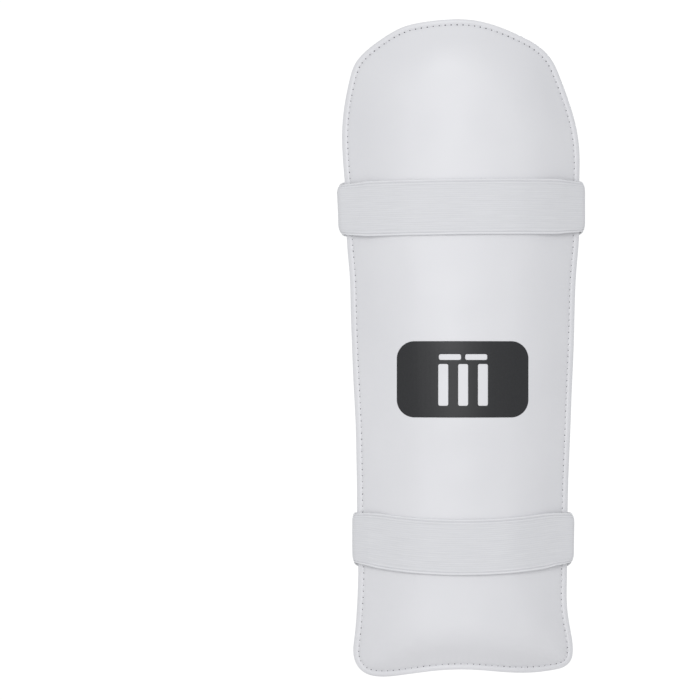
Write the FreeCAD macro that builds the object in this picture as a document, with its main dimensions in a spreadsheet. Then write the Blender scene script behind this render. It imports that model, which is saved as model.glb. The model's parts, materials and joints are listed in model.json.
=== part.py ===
import FreeCAD, Part
import math
import os

# Cricket shin guard (leg pad), worn under the trousers: a one-piece curved pad
# with a knee dome, held to the leg by two elastic loops.
#
# Frame, millimetres: +Z up the shin, -Y out through the face, +Y towards the
# leg, +X to the right when the face is looked at. The origin is on the inner
# surface of the towelling, on the centreline, midway between the two loops.
#
# The pad is a sewn sandwich: face cover, impact foam, comfort foam and
# towelling, all cut to one outline and stitched together just inside the edge.
# Its inner surface is an arch across the leg. The foam is full thickness in the
# middle and is crushed to a thin flange where the stitching runs.

doc = FreeCAD.newDocument("LegPad")

# ---------------------------------------------------------------- dimensions
sheet = doc.addObject("Spreadsheet::Sheet", "Dims")
DIMS = [
    ("pad_tall", 450.6, "height of the pad over dome and tips"),
    ("knee_wide", 163.8, "width across the knee"),
    ("arch_deep", 24.0, "depth of the hollow for the shin"),
    ("cover_thick", 0.9, "coated face cover"),
    ("impact_thick", 9.0, "impact foam in the middle"),
    ("comfort_thick", 2.4, "comfort foam in the middle"),
    ("towel_thick", 1.6, "towelling with its pile"),
    ("glue_gap", 0.3, "glue line between two layers"),
    ("rim_foam", 0.9, "impact foam crushed under the seam"),
    ("rim_comfort", 0.4, "comfort foam crushed under the seam"),
    ("flange_wide", 4.2, "flat flange outside the stitching"),
    ("taper_wide", 22.0, "run over which the foam reaches full thickness"),
    ("stitch_inset", 3.8, "stitch line to cut edge"),
    ("stitch_pitch", 4.1, "stitch pitch"),
    ("stitch_long", 2.9, "visible length of one stitch"),
    ("thread_rad", 0.28, "thread radius"),
    ("strap_wide", 38.0, "width of the elastic"),
    ("strap_thick", 1.4, "thickness of the elastic"),
    ("strap_gap", 0.7, "clearance of a loop to the pad"),
    ("upper_level", 114.6, "height of the upper loop's middle"),
    ("lower_level", -115.0, "height of the lower loop's middle"),
    ("upper_up", 8.0, "travel of the upper loop towards the knee"),
    ("upper_down", 35.0, "travel of the upper loop towards the foot"),
    ("lower_up", 20.0, "travel of the lower loop towards the knee"),
    ("lower_down", 15.0, "travel of the lower loop towards the foot"),
    ("upper_left", 85.2, "outer fold of the upper loop, left"),
    ("upper_right", 84.6, "outer fold of the upper loop, right"),
    ("lower_left", 75.2, "outer fold of the lower loop, left"),
    ("lower_right", 76.8, "outer fold of the lower loop, right"),
    ("lap_long", 16.0, "lap join of the elastic"),
    ("label_wide", 19.6, "width of the woven label"),
    ("label_long", 27.5, "length of the woven label"),
    ("label_thick", 0.5, "two plies of the folded label"),
    ("label_tilt", 19.0, "lean of the label in degrees"),
    ("badge_wide", 90.0, "width of the printed badge"),
    ("badge_tall", 52.0, "height of the printed badge"),
    ("badge_level", -3.1, "height of the badge's middle"),
    ("film_thick", 0.3, "print film"),
]
D = {}
for row, (alias, value, words) in enumerate(DIMS, start=1):
    sheet.set("A%d" % row, words)
    sheet.set("B%d" % row, str(value))
    sheet.setAlias("B%d" % row, alias)
    D[alias] = value
doc.recompute()

# ------------------------------------------------------------------- outline
# Outline of the pad in millimetres at its nominal size, clockwise from the top
# of the dome: knee dome, right side with the waist above the foot, right tip,
# the scallop over the instep, left tip, left side. The points are fair to half
# a millimetre.
OUTLINE = [
    (-7.9, 243.1), (8.1, 242.4), (22.9, 238.9), (39.7, 232.3), (53.0, 225.1),
    (61.1, 217.2), (67.2, 205.4), (74.0, 187.7), (79.1, 170.4), (81.3, 154.5),
    (81.4, 135.5), (81.4, 113.6), (81.1, 93.7), (79.4, 72.9), (78.3, 52.0),
    (77.8, 31.1), (77.1, 9.3), (76.1, -12.5), (75.3, -34.3), (74.4, -56.2),
    (73.6, -77.0), (73.2, -98.9), (73.0, -120.7), (72.7, -142.6),
    (72.9, -160.6), (75.4, -177.5), (76.9, -190.7), (75.1, -197.9),
    (71.2, -201.3), (63.8, -203.2), (48.7, -204.5), (29.7, -203.8),
    (9.8, -202.0), (-8.2, -201.8), (-26.1, -203.6), (-45.8, -206.7),
    (-59.1, -207.5), (-67.2, -205.3), (-71.9, -200.9), (-74.5, -194.0),
    (-74.0, -182.6), (-72.3, -163.7), (-71.4, -143.8), (-71.4, -123.8),
    (-72.1, -102.0), (-72.1, -82.1), (-72.5, -60.2), (-72.9, -39.3),
    (-73.9, -17.5), (-75.0, 4.3), (-75.8, 25.2), (-76.5, 47.0),
    (-77.0, 66.0), (-78.8, 87.8), (-79.6, 107.7), (-80.4, 129.5),
    (-81.9, 149.4), (-82.4, 167.4), (-80.8, 185.4), (-77.3, 203.0),
    (-73.2, 214.6), (-65.6, 223.0), (-53.3, 231.8), (-40.7, 238.3),
    (-25.9, 241.5),
]
outline_pts = [(x * D["knee_wide"] / 163.8, z * D["pad_tall"] / 450.6)
               for x, z in OUTLINE]


def spline_through(points, closed=False):
    curve = Part.BSplineCurve()
    curve.interpolate(points, PeriodicFlag=closed)
    return curve


edge_curve = spline_through(
    [FreeCAD.Vector(x, 0, z) for x, z in outline_pts], closed=True)
edge_samples = edge_curve.discretize(Number=601)[:-1]
EDGE = [(p.x, p.z) for p in edge_samples]


def signed_distance(x, z):
    """Distance to the cut edge, positive inside the pad."""
    best = 1e9
    inside = False
    x1, z1 = EDGE[-1]
    for x2, z2 in EDGE:
        dx, dz = x2 - x1, z2 - z1
        k = ((x - x1) * dx + (z - z1) * dz) / (dx * dx + dz * dz)
        k = 0.0 if k < 0.0 else (1.0 if k > 1.0 else k)
        ex, ez = x1 + k * dx - x, z1 + k * dz - z
        best = min(best, ex * ex + ez * ez)
        if (z1 > z) != (z2 > z) and x < (x2 - x1) * (z - z1) / (z2 - z1) + x1:
            inside = not inside
        x1, z1 = x2, z2
    best = math.sqrt(best)
    return best if inside else -best


def smooth(value):
    value = max(0.0, min(1.0, value))
    return value * value * (3.0 - 2.0 * value)


def half_width(z):
    """Half width that the arch is spread over, from the knee to the foot."""
    table = [(-230, 76.5), (-190, 75.0), (-150, 72.6), (-90, 72.8), (-20, 74.8),
             (60, 78.0), (110, 81.0), (150, 81.6), (270, 81.6)]
    for (za, wa), (zb, wb) in zip(table, table[1:]):
        if z <= zb:
            return wa + (wb - wa) * smooth((z - za) / float(zb - za))
    return table[-1][1]


def arch(x, z):
    """Inner surface of the towelling."""
    return D["arch_deep"] * (x / half_width(z)) ** 2


# --------------------------------------------------------------- layer grids
XS = [-96.0 + 192.0 * i / 40.0 for i in range(41)]
ZS = [-222.0 + 480.0 * j / 84.0 for j in range(85)]
RISE = [[smooth((signed_distance(x, z) - D["flange_wide"]) / D["taper_wide"])
         for z in ZS] for x in XS]


def level(x, z, rise, name):
    """y of one surface of the sandwich."""
    gap = D["glue_gap"]
    comfort = D["rim_comfort"] + (D["comfort_thick"] - D["rim_comfort"]) * rise
    impact = D["rim_foam"] + (D["impact_thick"] - D["rim_foam"]) * rise
    y = arch(x, z)
    stack = [("towel_in", 0.0), ("towel_out", D["towel_thick"]),
             ("comfort_in", gap), ("comfort_out", comfort),
             ("impact_in", gap), ("impact_out", impact),
             ("cover_in", gap), ("cover_out", D["cover_thick"])]
    for key, step in stack:
        y -= step
        if key == name:
            return y
    raise KeyError(name)


def surface(name, lift=0.0):
    grid = []
    for i, x in enumerate(XS):
        grid.append([FreeCAD.Vector(x, level(x, z, RISE[i][j], name) + lift, z)
                     for j, z in enumerate(ZS)])
    surf = Part.BSplineSurface()
    surf.interpolate(grid)
    return surf


def slab(back, front, back_lift=0.0, front_lift=0.0):
    """Solid between two surfaces of the sandwich, wider than the pad."""
    fa = surface(back, back_lift).toShape()
    fb = surface(front, front_lift).toShape()
    sides = []
    for ea in fa.Edges:
        ma = ea.valueAt(0.5 * (ea.FirstParameter + ea.LastParameter))
        eb = min(fb.Edges, key=lambda e: (
            e.valueAt(0.5 * (e.FirstParameter + e.LastParameter)) - ma).Length)
        sides.append(Part.makeRuledSurface(ea, eb))
    shell = Part.makeShell([fa, fb] + sides)
    solid = Part.makeSolid(shell)
    if solid.Volume < 0:
        solid.reverse()
    return solid


def plane_of(body, role):
    for feature in body.Origin.OriginFeatures:
        if feature.Role == role:
            return feature
    raise KeyError(role)


def new_body(name):
    body = doc.addObject("PartDesign::Body", name)
    body.Label = name
    return body


def new_sketch(body, name, role):
    sketch = body.newObject("Sketcher::SketchObject", name)
    sketch.AttachmentSupport = (plane_of(body, role), [""])
    sketch.MapMode = "FlatFace"
    return sketch


# The outline is a sketch on the upright plane, padded through the whole stack.
blank = new_body("pad_blank")
outline_sketch = new_sketch(blank, "pad_outline", "XZ_Plane")
outline_sketch.addGeometry(spline_through(
    [FreeCAD.Vector(x, z, 0) for x, z in outline_pts], closed=True))
blank_pad = blank.newObject("PartDesign::Pad", "pad_blank_pad")
blank_pad.Profile = outline_sketch
blank_pad.Length = 140.0
blank_pad.Midplane = True
doc.recompute()

final = []


def layer(name, back, front):
    stock = doc.addObject("Part::Feature", name + "_stock")
    stock.Shape = slab(back, front)
    node = doc.addObject("Part::Common", name)
    node.Base = blank
    node.Tool = stock
    node.Label = name
    final.append(node)
    return node


towel_liner = layer("towel_liner", "towel_in", "towel_out")
comfort_foam = layer("comfort_foam", "comfort_in", "comfort_out")
impact_foam = layer("impact_foam", "impact_in", "impact_out")
face_cover = layer("face_cover", "cover_in", "cover_out")

# ------------------------------------------------------------------ stitches
# One lockstitch runs round the pad. Its top thread shows on the face and its
# bobbin thread on the towelling: each visible stitch is a short bar of thread.


def surface_y(x, z, name):
    rise = smooth((signed_distance(x, z) - D["flange_wide"]) / D["taper_wide"])
    return level(x, z, rise, name)


def offset_edge(inset):
    pts = []
    n = len(EDGE)
    for i in range(n):
        (x0, z0), (x1, z1) = EDGE[i - 3], EDGE[(i + 3) % n]
        tx, tz = x1 - x0, z1 - z0
        length = math.hypot(tx, tz)
        # the outline runs clockwise, so the inside is to the right of the way on
        nx, nz = tz / length, -tx / length
        pts.append((EDGE[i][0] + nx * inset, EDGE[i][1] + nz * inset))
    if signed_distance(*pts[0]) < 0:
        raise ValueError("the stitch line fell outside the pad")
    return pts


seam = offset_edge(D["stitch_inset"])
steps = [0.0]
for i in range(len(seam)):
    x0, z0 = seam[i]
    x1, z1 = seam[(i + 1) % len(seam)]
    steps.append(steps[-1] + math.hypot(x1 - x0, z1 - z0))
seam_long = steps[-1]
count = int(round(seam_long / D["stitch_pitch"]))


def seam_point(along):
    along %= seam_long
    lo, hi = 0, len(seam)
    while hi - lo > 1:
        mid = (lo + hi) // 2
        if steps[mid] <= along:
            lo = mid
        else:
            hi = mid
    x0, z0 = seam[lo]
    x1, z1 = seam[(lo + 1) % len(seam)]
    k = (along - steps[lo]) / max(1e-9, steps[lo + 1] - steps[lo])
    return x0 + (x1 - x0) * k, z0 + (z1 - z0) * k


def stitch_row(name, face, lift, shift):
    bars = []
    pitch = seam_long / count
    for i in range(count):
        a = (i + shift) * pitch
        ends = []
        for along in (a - D["stitch_long"] / 2.0, a + D["stitch_long"] / 2.0):
            x, z = seam_point(along)
            ends.append(FreeCAD.Vector(x, surface_y(x, z, face) + lift, z))
        way = ends[1] - ends[0]
        bars.append(Part.makeCylinder(D["thread_rad"], way.Length, ends[0], way))
    node = doc.addObject("Part::Feature", name)
    node.Shape = Part.makeCompound(bars)
    node.Label = name
    final.append(node)
    return node


face_stitches = stitch_row("face_stitches", "cover_out", -0.05, 0.0)
liner_stitches = stitch_row("liner_stitches", "towel_in", 0.05, 0.5)

# ------------------------------------------------------------- elastic loops
# Each loop is one elastic band, 38 mm wide, closed by a lap join at the back.
# The front run lies over the face and turns round both edges of the pad; the
# back run bridges the hollow, and is a piece of its own because it moves out
# round the leg.


def hull_2d(points):
    points = sorted(set(points))

    def half(seq):
        out = []
        for p in seq:
            while len(out) >= 2 and (
                    (out[-1][0] - out[-2][0]) * (p[1] - out[-2][1])
                    - (out[-1][1] - out[-2][1]) * (p[0] - out[-2][0])) <= 0:
                out.pop()
            out.append(p)
        return out
    lower = half(points)
    upper = half(reversed(points))
    return lower[:-1] + upper[:-1]


def section_points(z):
    """Corner points of the pad's cross-section at one height."""
    pts = []
    for i in range(-44, 45):
        x = i * 2.0
        if signed_distance(x, z) > 0.0:
            pts.append((x, surface_y(x, z, "cover_out")))
            pts.append((x, surface_y(x, z, "towel_in")))
    for side in (-1, 1):
        lo, hi = 0.0, 95.0
        for _ in range(30):
            mid = (lo + hi) / 2.0
            if signed_distance(side * mid, z) > 0:
                lo = mid
            else:
                hi = mid
        x = side * lo
        pts.append((x, surface_y(x, z, "cover_out")))
        pts.append((x, surface_y(x, z, "towel_in")))
    return pts


def loop_parts(tag, middle, up, down, left, right):
    wide = D["strap_wide"]
    thick = D["strap_thick"]
    gap = D["strap_gap"]
    low = middle - wide / 2.0 - down
    high = middle + wide / 2.0 + up
    pts = []
    for k in range(9):
        pts += section_points(low + (high - low) * k / 8.0)
    back_y = max(p[1] for p in pts) + gap            # inner face of the back run
    out_y = back_y + thick
    # both walls of the front run and the edge turns: the hull of the pad's
    # sections and of the two folds, moved out by the gap, and by the gap and
    # the thickness, with round corners
    fold_rad = 2.2
    shape = list(pts)
    for side, fold in ((-1, left), (1, right)):
        cx = side * (fold - thick - gap - fold_rad)
        cy = back_y - gap - fold_rad
        for k in range(24):
            a = 2.0 * math.pi * k / 24.0
            shape.append((cx + fold_rad * math.cos(a), cy + fold_rad * math.sin(a)))
    ring = hull_2d(shape)

    def wall(dist):
        """Wall points from the right end of the back round the front."""
        out = []
        for k in range(0, 61):
            a = math.radians(89.9 - 359.8 * k / 60.0)
            c, q = math.cos(a), math.sin(a)
            x, y = max(ring, key=lambda p: p[0] * c + p[1] * q)
            p = (x + c * dist, y + q * dist)
            if not out or math.hypot(p[0] - out[-1][0], p[1] - out[-1][1]) > 0.35:
                out.append(p)
        return out
    outs = wall(gap + thick)
    ins = wall(gap)
    left_end = -(left - D["lap_long"] - 10.0)
    right_end = right - 9.0
    body = new_body(tag + "_front")
    sketch = new_sketch(body, tag + "_front_profile", "XY_Plane")
    vec = FreeCAD.Vector
    lap_a = left_end - D["lap_long"]
    ply = back_y - thick
    # outer wall, the end over the lap, the second ply under it, inner wall,
    # the other end
    profile = [(right_end, out_y)] + outs + [(left_end, out_y), (left_end, ply),
                                             (lap_a, ply), (lap_a, back_y)]
    profile += list(reversed(ins)) + [(right_end, back_y)]
    for i in range(len(profile)):
        p, q = profile[i], profile[(i + 1) % len(profile)]
        sketch.addGeometry(Part.LineSegment(vec(p[0], p[1], 0), vec(q[0], q[1], 0)))
    pad = body.newObject("PartDesign::Pad", tag + "_front_pad")
    pad.Profile = sketch
    pad.Midplane = True
    pad.setExpression("Length", "Dims.strap_wide")
    level_cell = tag.split("_")[0] + "_level"
    body.setExpression("Placement.Base.z", "Dims.%s" % level_cell)
    final.append(body)

    back = new_body(tag + "_back")
    sk = new_sketch(back, tag + "_back_profile", "XY_Plane")
    a, b = left_end + 0.2, right_end - 0.2
    corners = [vec(a, back_y, 0), vec(b, back_y, 0), vec(b, out_y, 0), vec(a, out_y, 0)]
    for i in range(4):
        sk.addGeometry(Part.LineSegment(corners[i], corners[(i + 1) % 4]))
    bp = back.newObject("PartDesign::Pad", tag + "_back_pad")
    bp.Profile = sk
    bp.Midplane = True
    bp.setExpression("Length", "Dims.strap_wide")
    back.setExpression("Placement.Base.z", "Dims.%s" % level_cell)
    final.append(back)

    # rows of zigzag across the lap, each stitch a bar of thread
    bars = []
    rows = 3
    zig = 2.6
    for r in range(rows):
        x0 = lap_a + 3.0 + r * (D["lap_long"] - 6.0) / (rows - 1)
        k = 0
        z = -wide / 2.0 + 2.0
        while z + zig <= wide / 2.0 - 1.9:
            sx = 1.0 if k % 2 == 0 else -1.0
            p = vec(x0 - sx * 0.9, out_y + 0.1, middle + z + 0.25)
            q = vec(x0 + sx * 0.9, out_y + 0.1, middle + z + zig - 0.25)
            bars.append(Part.makeCylinder(D["thread_rad"], (q - p).Length, p, q - p))
            z += zig
            k += 1
    node = doc.addObject("Part::Feature", tag + "_seam")
    node.Shape = Part.makeCompound(bars)
    node.Label = tag + "_seam"
    final.append(node)
    return {"back_y": back_y, "out_y": out_y, "left_end": left_end,
            "right_end": right_end, "lap_a": lap_a, "in": ins, "out": outs}


upper = loop_parts("upper_strap", D["upper_level"], D["upper_up"], D["upper_down"],
                   D["upper_left"], D["upper_right"])
lower = loop_parts("lower_strap", D["lower_level"], D["lower_up"], D["lower_down"],
                   D["lower_left"], D["lower_right"])

# ----------------------------------------------------------------- size label
# A folded woven label hangs on the towelling from the seam at the top of the
# dome. It leans, so its sewn edge is cut level while its sides slope.
hinge_z = 235.4
hinge_x = -11.4
hinge_gap = 0.65
tilt = math.radians(D["label_tilt"])
# The label lies along the tangent of the hollow at its own middle, just clear
# of the pile.
touch_x = -14.5
slope = 2.0 * D["arch_deep"] * touch_x / half_width(230.0) ** 2
plane_y = arch(touch_x, 230.0) + slope * (hinge_x - touch_x) + 1.45
turn_z = FreeCAD.Rotation(FreeCAD.Vector(0, 0, 1), math.degrees(math.atan(slope)))
lean = math.sin(tilt)
down = math.cos(tilt)
half = D["label_wide"] / 2.0
level_half = half / down
long_side = D["label_long"]
label = new_body("size_label")
sk = new_sketch(label, "size_label_outline", "XZ_Plane")
vec = FreeCAD.Vector
top_l = (-level_half, 0.0)
top_r = (level_half, 0.0)
# seen from the leg the lower end swings to the right, which is -X
low_mid = (-lean * long_side, -down * long_side)
low_l = (low_mid[0] - half * down, low_mid[1] + half * lean)
low_r = (low_mid[0] + half * down, low_mid[1] - half * lean)
poly = [top_l, top_r, low_r, low_l]
for i in range(4):
    p, q = poly[i], poly[(i + 1) % 4]
    sk.addGeometry(Part.LineSegment(vec(p[0], p[1], 0), vec(q[0], q[1], 0)))
lp = label.newObject("PartDesign::Pad", "size_label_pad")
lp.Profile = sk
lp.Midplane = True
lp.setExpression("Length", "Dims.label_thick")
label.Placement = FreeCAD.Placement(vec(hinge_x, plane_y, hinge_z - hinge_gap), turn_z)
final.append(label)

# the end of the label that the seam holds
tab = new_body("size_label_tab")
sk = new_sketch(tab, "size_label_tab_outline", "XZ_Plane")
up_x = lean / down * 5.2
poly = [(-level_half, 0.0), (level_half, 0.0), (level_half + up_x, 5.2), (-level_half + up_x, 5.2)]
for i in range(4):
    p, q = poly[i], poly[(i + 1) % 4]
    sk.addGeometry(Part.LineSegment(vec(p[0], p[1], 0), vec(q[0], q[1], 0)))
tp = tab.newObject("PartDesign::Pad", "size_label_tab_pad")
tp.Profile = sk
tp.Midplane = True
tp.setExpression("Length", "Dims.label_thick")
tab.Placement = FreeCAD.Placement(vec(hinge_x, plane_y, hinge_z + hinge_gap), turn_z)
final.append(tab)

# ---------------------------------------------------------------------- badge
# A plain printed badge on the face: a rounded tablet of film, with three
# stumps and two bails left open.
badge_body = new_body("badge_blank")
sk = new_sketch(badge_body, "badge_outline", "XZ_Plane")
bw, bh, rad = D["badge_wide"] / 2.0, D["badge_tall"] / 2.0, 12.0
mid_z = D["badge_level"]


def arc(cx, cz, r, a0, a1):
    return Part.ArcOfCircle(Part.Circle(vec(cx, cz, 0), vec(0, 0, 1), r),
                            math.radians(a0), math.radians(a1))


for sx, sz, a0 in ((1, 1, 0), (-1, 1, 90), (-1, -1, 180), (1, -1, 270)):
    sk.addGeometry(arc(sx * (bw - rad), mid_z + sz * (bh - rad), rad, a0, a0 + 90))
sk.addGeometry(Part.LineSegment(vec(bw - rad, mid_z + bh, 0), vec(-bw + rad, mid_z + bh, 0)))
sk.addGeometry(Part.LineSegment(vec(-bw, mid_z + bh - rad, 0), vec(-bw, mid_z - bh + rad, 0)))
sk.addGeometry(Part.LineSegment(vec(-bw + rad, mid_z - bh, 0), vec(bw - rad, mid_z - bh, 0)))
sk.addGeometry(Part.LineSegment(vec(bw, mid_z - bh + rad, 0), vec(bw, mid_z + bh - rad, 0)))


def box_loop(x0, x1, z0, z1):
    c = [vec(x0, z0, 0), vec(x1, z0, 0), vec(x1, z1, 0), vec(x0, z1, 0)]
    for i in range(4):
        sk.addGeometry(Part.LineSegment(c[i], c[(i + 1) % 4]))


for cx in (-13.5, 0.0, 13.5):
    box_loop(cx - 3.4, cx + 3.4, mid_z - 18.0, mid_z + 10.5)
box_loop(-16.5, -1.4, mid_z + 13.2, mid_z + 17.2)
box_loop(1.4, 16.5, mid_z + 13.2, mid_z + 17.2)
bp = badge_body.newObject("PartDesign::Pad", "badge_pad")
bp.Profile = sk
bp.Length = 140.0
bp.Midplane = True
film = doc.addObject("Part::Feature", "badge_film")
film.Shape = slab("cover_out", "cover_out", 0.1, 0.1 - D["film_thick"])
badge = doc.addObject("Part::Common", "front_badge")
badge.Base = badge_body
badge.Tool = film
badge.Label = "front_badge"
final.append(badge)

doc.recompute()

# --------------------------------------------------------------------- checks
for obj in doc.Objects:
    for word in ("Invalid", "Error"):
        if word in obj.State:
            raise RuntimeError("%s is %s" % (obj.Name, obj.State))
for obj in final:
    if obj.Shape.isNull() or not obj.Shape.isValid() or not obj.Shape.Solids:
        raise RuntimeError("%s has no valid solid" % obj.Label)

os.makedirs("parts", exist_ok=True)
for obj in final:
    box = obj.Shape.BoundBox
    print("%-22s solids %3d  volume %10.1f  x %.1f..%.1f  y %.1f..%.1f  z %.1f..%.1f" % (
        obj.Label, len(obj.Shape.Solids), obj.Shape.Volume,
        box.XMin, box.XMax, box.YMin, box.YMax, box.ZMin, box.ZMax))
    obj.Shape.exportStep("parts/%s.step" % obj.Label)
for tag, loop in (("upper", upper), ("lower", lower)):
    print(tag, "back_y %.2f out_y %.2f left_end %.2f right_end %.2f lap_a %.2f" % (
        loop["back_y"], loop["out_y"], loop["left_end"], loop["right_end"], loop["lap_a"]))
    print("  inner", [(round(x, 1), round(y, 1)) for x, y in loop["in"]])
    print("  outer", [(round(x, 1), round(y, 1)) for x, y in loop["out"]])
print("label hinge x %.2f y %.3f z %.2f  slope %.5f" % (hinge_x, plane_y, hinge_z, slope))
print("stitches", count, "seam length %.1f" % seam_long)
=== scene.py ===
import json
import math

import bpy
import numpy as np
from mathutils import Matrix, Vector


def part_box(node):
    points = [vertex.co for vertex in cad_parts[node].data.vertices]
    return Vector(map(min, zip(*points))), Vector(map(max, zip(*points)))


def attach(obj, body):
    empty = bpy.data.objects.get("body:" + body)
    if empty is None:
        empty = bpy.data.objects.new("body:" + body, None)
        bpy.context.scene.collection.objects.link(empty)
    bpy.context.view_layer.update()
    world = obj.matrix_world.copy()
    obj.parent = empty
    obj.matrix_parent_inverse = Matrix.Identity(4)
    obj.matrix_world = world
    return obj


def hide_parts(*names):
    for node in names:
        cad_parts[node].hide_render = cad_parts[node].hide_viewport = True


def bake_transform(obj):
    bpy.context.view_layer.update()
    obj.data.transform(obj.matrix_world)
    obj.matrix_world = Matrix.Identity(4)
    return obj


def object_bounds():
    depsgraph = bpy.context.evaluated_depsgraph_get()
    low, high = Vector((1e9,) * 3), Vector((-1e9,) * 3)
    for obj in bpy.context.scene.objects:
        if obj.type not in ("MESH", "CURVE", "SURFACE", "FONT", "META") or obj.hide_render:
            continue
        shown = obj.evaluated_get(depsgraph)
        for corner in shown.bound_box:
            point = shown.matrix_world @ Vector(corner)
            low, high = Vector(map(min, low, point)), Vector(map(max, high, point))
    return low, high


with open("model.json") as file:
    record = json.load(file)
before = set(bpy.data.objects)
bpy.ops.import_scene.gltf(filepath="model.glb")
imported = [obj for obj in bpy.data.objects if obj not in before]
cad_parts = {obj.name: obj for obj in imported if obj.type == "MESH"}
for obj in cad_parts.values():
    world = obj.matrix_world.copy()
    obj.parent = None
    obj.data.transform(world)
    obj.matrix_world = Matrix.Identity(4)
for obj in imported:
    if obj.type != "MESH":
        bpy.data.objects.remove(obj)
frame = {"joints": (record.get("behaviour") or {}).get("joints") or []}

CAD_BOX = [list(map(float, c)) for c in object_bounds()]
MM = 0.001
rng_seed = 11

# ------------------------------------------------------------------ utilities


def smooth(v):
    v = np.clip(v, 0.0, 1.0)
    return v * v * (3.0 - 2.0 * v)


def value_noise(p, seed=0):
    """Smooth noise from -1 to 1 at points p (n, k), one cell to the unit."""
    p = np.asarray(p, float)
    k = p.shape[1]
    base = np.floor(p).astype(np.int64)
    f = p - base
    f = f * f * f * (f * (f * 6 - 15) + 10)
    out = np.zeros(len(p))
    for corner in range(2 ** k):
        off = np.array([(corner >> i) & 1 for i in range(k)])
        c = base + off
        h = np.full(len(p), 0x9E3779B9 + 7919 * seed, np.uint64)
        for i in range(k):
            h ^= (c[:, i].astype(np.uint64) + np.uint64(0x632BE59BD9B4E019 % (2 ** 63))
                  + (h << np.uint64(6)) + (h >> np.uint64(2)))
            h *= np.uint64(0xBF58476D1CE4E5B9)
            h ^= h >> np.uint64(27)
        v = (h % np.uint64(65536)).astype(float) / 32767.5 - 1.0
        w = np.ones(len(p))
        for i in range(k):
            w *= f[:, i] if off[i] else 1.0 - f[:, i]
        out += v * w
    return out


def fractal(p, octaves=3, seed=0, gain=0.5):
    p = np.asarray(p, float)
    total, amp = np.zeros(len(p)), 1.0
    for o in range(octaves):
        total += amp * value_noise(p * 2.0 ** o + 17.3 * o, seed + o)
        amp *= gain
    return total


def periodic_spline(points, count):
    """Even samples of the closed cubic spline through the points."""
    pts = np.asarray(points, float)
    n = len(pts)
    h = np.linalg.norm(np.roll(pts, -1, 0) - pts, axis=1)
    a = np.zeros((n, n))
    rhs = np.zeros((n, pts.shape[1]))
    for i in range(n):
        hp, hn = h[i - 1], h[i]
        a[i, i - 1] += hp
        a[i, i] += 2 * (hp + hn)
        a[i, (i + 1) % n] += hn
        rhs[i] = 6 * ((pts[(i + 1) % n] - pts[i]) / hn - (pts[i] - pts[i - 1]) / hp)
    m = np.linalg.solve(a, rhs)
    dense = []
    for i in range(n):
        t = np.linspace(0, h[i], 60, endpoint=False)[:, None]
        j = (i + 1) % n
        dense.append(m[i] * (h[i] - t) ** 3 / (6 * h[i]) + m[j] * t ** 3 / (6 * h[i])
                     + (pts[i] / h[i] - m[i] * h[i] / 6) * (h[i] - t)
                     + (pts[j] / h[i] - m[j] * h[i] / 6) * t)
    dense = np.vstack(dense)
    return resample(dense, count, True)


def resample(pts, count, closed):
    pts = np.asarray(pts, float)
    if closed:
        pts = np.vstack([pts, pts[:1]])
    d = np.concatenate([[0], np.cumsum(np.linalg.norm(np.diff(pts, axis=0), axis=1))])
    at = np.linspace(0, d[-1], count, endpoint=not closed)
    return np.stack([np.interp(at, d, pts[:, i]) for i in range(pts.shape[1])], 1)


def mesh_object(name, verts, faces, smooth_shade=True):
    me = bpy.data.meshes.new(name)
    me.from_pydata([tuple(v) for v in np.asarray(verts).tolist()], [], [tuple(f) for f in faces])
    me.validate()
    me.update()
    if smooth_shade:
        me.polygons.foreach_set("use_smooth", [True] * len(me.polygons))
    ob = bpy.data.objects.new(name, me)
    bpy.context.scene.collection.objects.link(ob)
    return ob


def outward(ob):
    import bmesh
    bm = bmesh.new()
    bm.from_mesh(ob.data)
    bmesh.ops.recalc_face_normals(bm, faces=bm.faces)
    bm.to_mesh(ob.data)
    bm.free()


# ------------------------------------------------------------- the pad's shape
# The same outline, arch and layer stack as the CAD model, in millimetres.
OUTLINE = [
    (-7.9, 243.1), (8.1, 242.4), (22.9, 238.9), (39.7, 232.3), (53.0, 225.1),
    (61.1, 217.2), (67.2, 205.4), (74.0, 187.7), (79.1, 170.4), (81.3, 154.5),
    (81.4, 135.5), (81.4, 113.6), (81.1, 93.7), (79.4, 72.9), (78.3, 52.0),
    (77.8, 31.1), (77.1, 9.3), (76.1, -12.5), (75.3, -34.3), (74.4, -56.2),
    (73.6, -77.0), (73.2, -98.9), (73.0, -120.7), (72.7, -142.6),
    (72.9, -160.6), (75.4, -177.5), (76.9, -190.7), (75.1, -197.9),
    (71.2, -201.3), (63.8, -203.2), (48.7, -204.5), (29.7, -203.8),
    (9.8, -202.0), (-8.2, -201.8), (-26.1, -203.6), (-45.8, -206.7),
    (-59.1, -207.5), (-67.2, -205.3), (-71.9, -200.9), (-74.5, -194.0),
    (-74.0, -182.6), (-72.3, -163.7), (-71.4, -143.8), (-71.4, -123.8),
    (-72.1, -102.0), (-72.1, -82.1), (-72.5, -60.2), (-72.9, -39.3),
    (-73.9, -17.5), (-75.0, 4.3), (-75.8, 25.2), (-76.5, 47.0),
    (-77.0, 66.0), (-78.8, 87.8), (-79.6, 107.7), (-80.4, 129.5),
    (-81.9, 149.4), (-82.4, 167.4), (-80.8, 185.4), (-77.3, 203.0),
    (-73.2, 214.6), (-65.6, 223.0), (-53.3, 231.8), (-40.7, 238.3),
    (-25.9, 241.5),
]
STITCHES = 272
INSET = 3.8
EDGE = periodic_spline(OUTLINE, 900)


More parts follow.
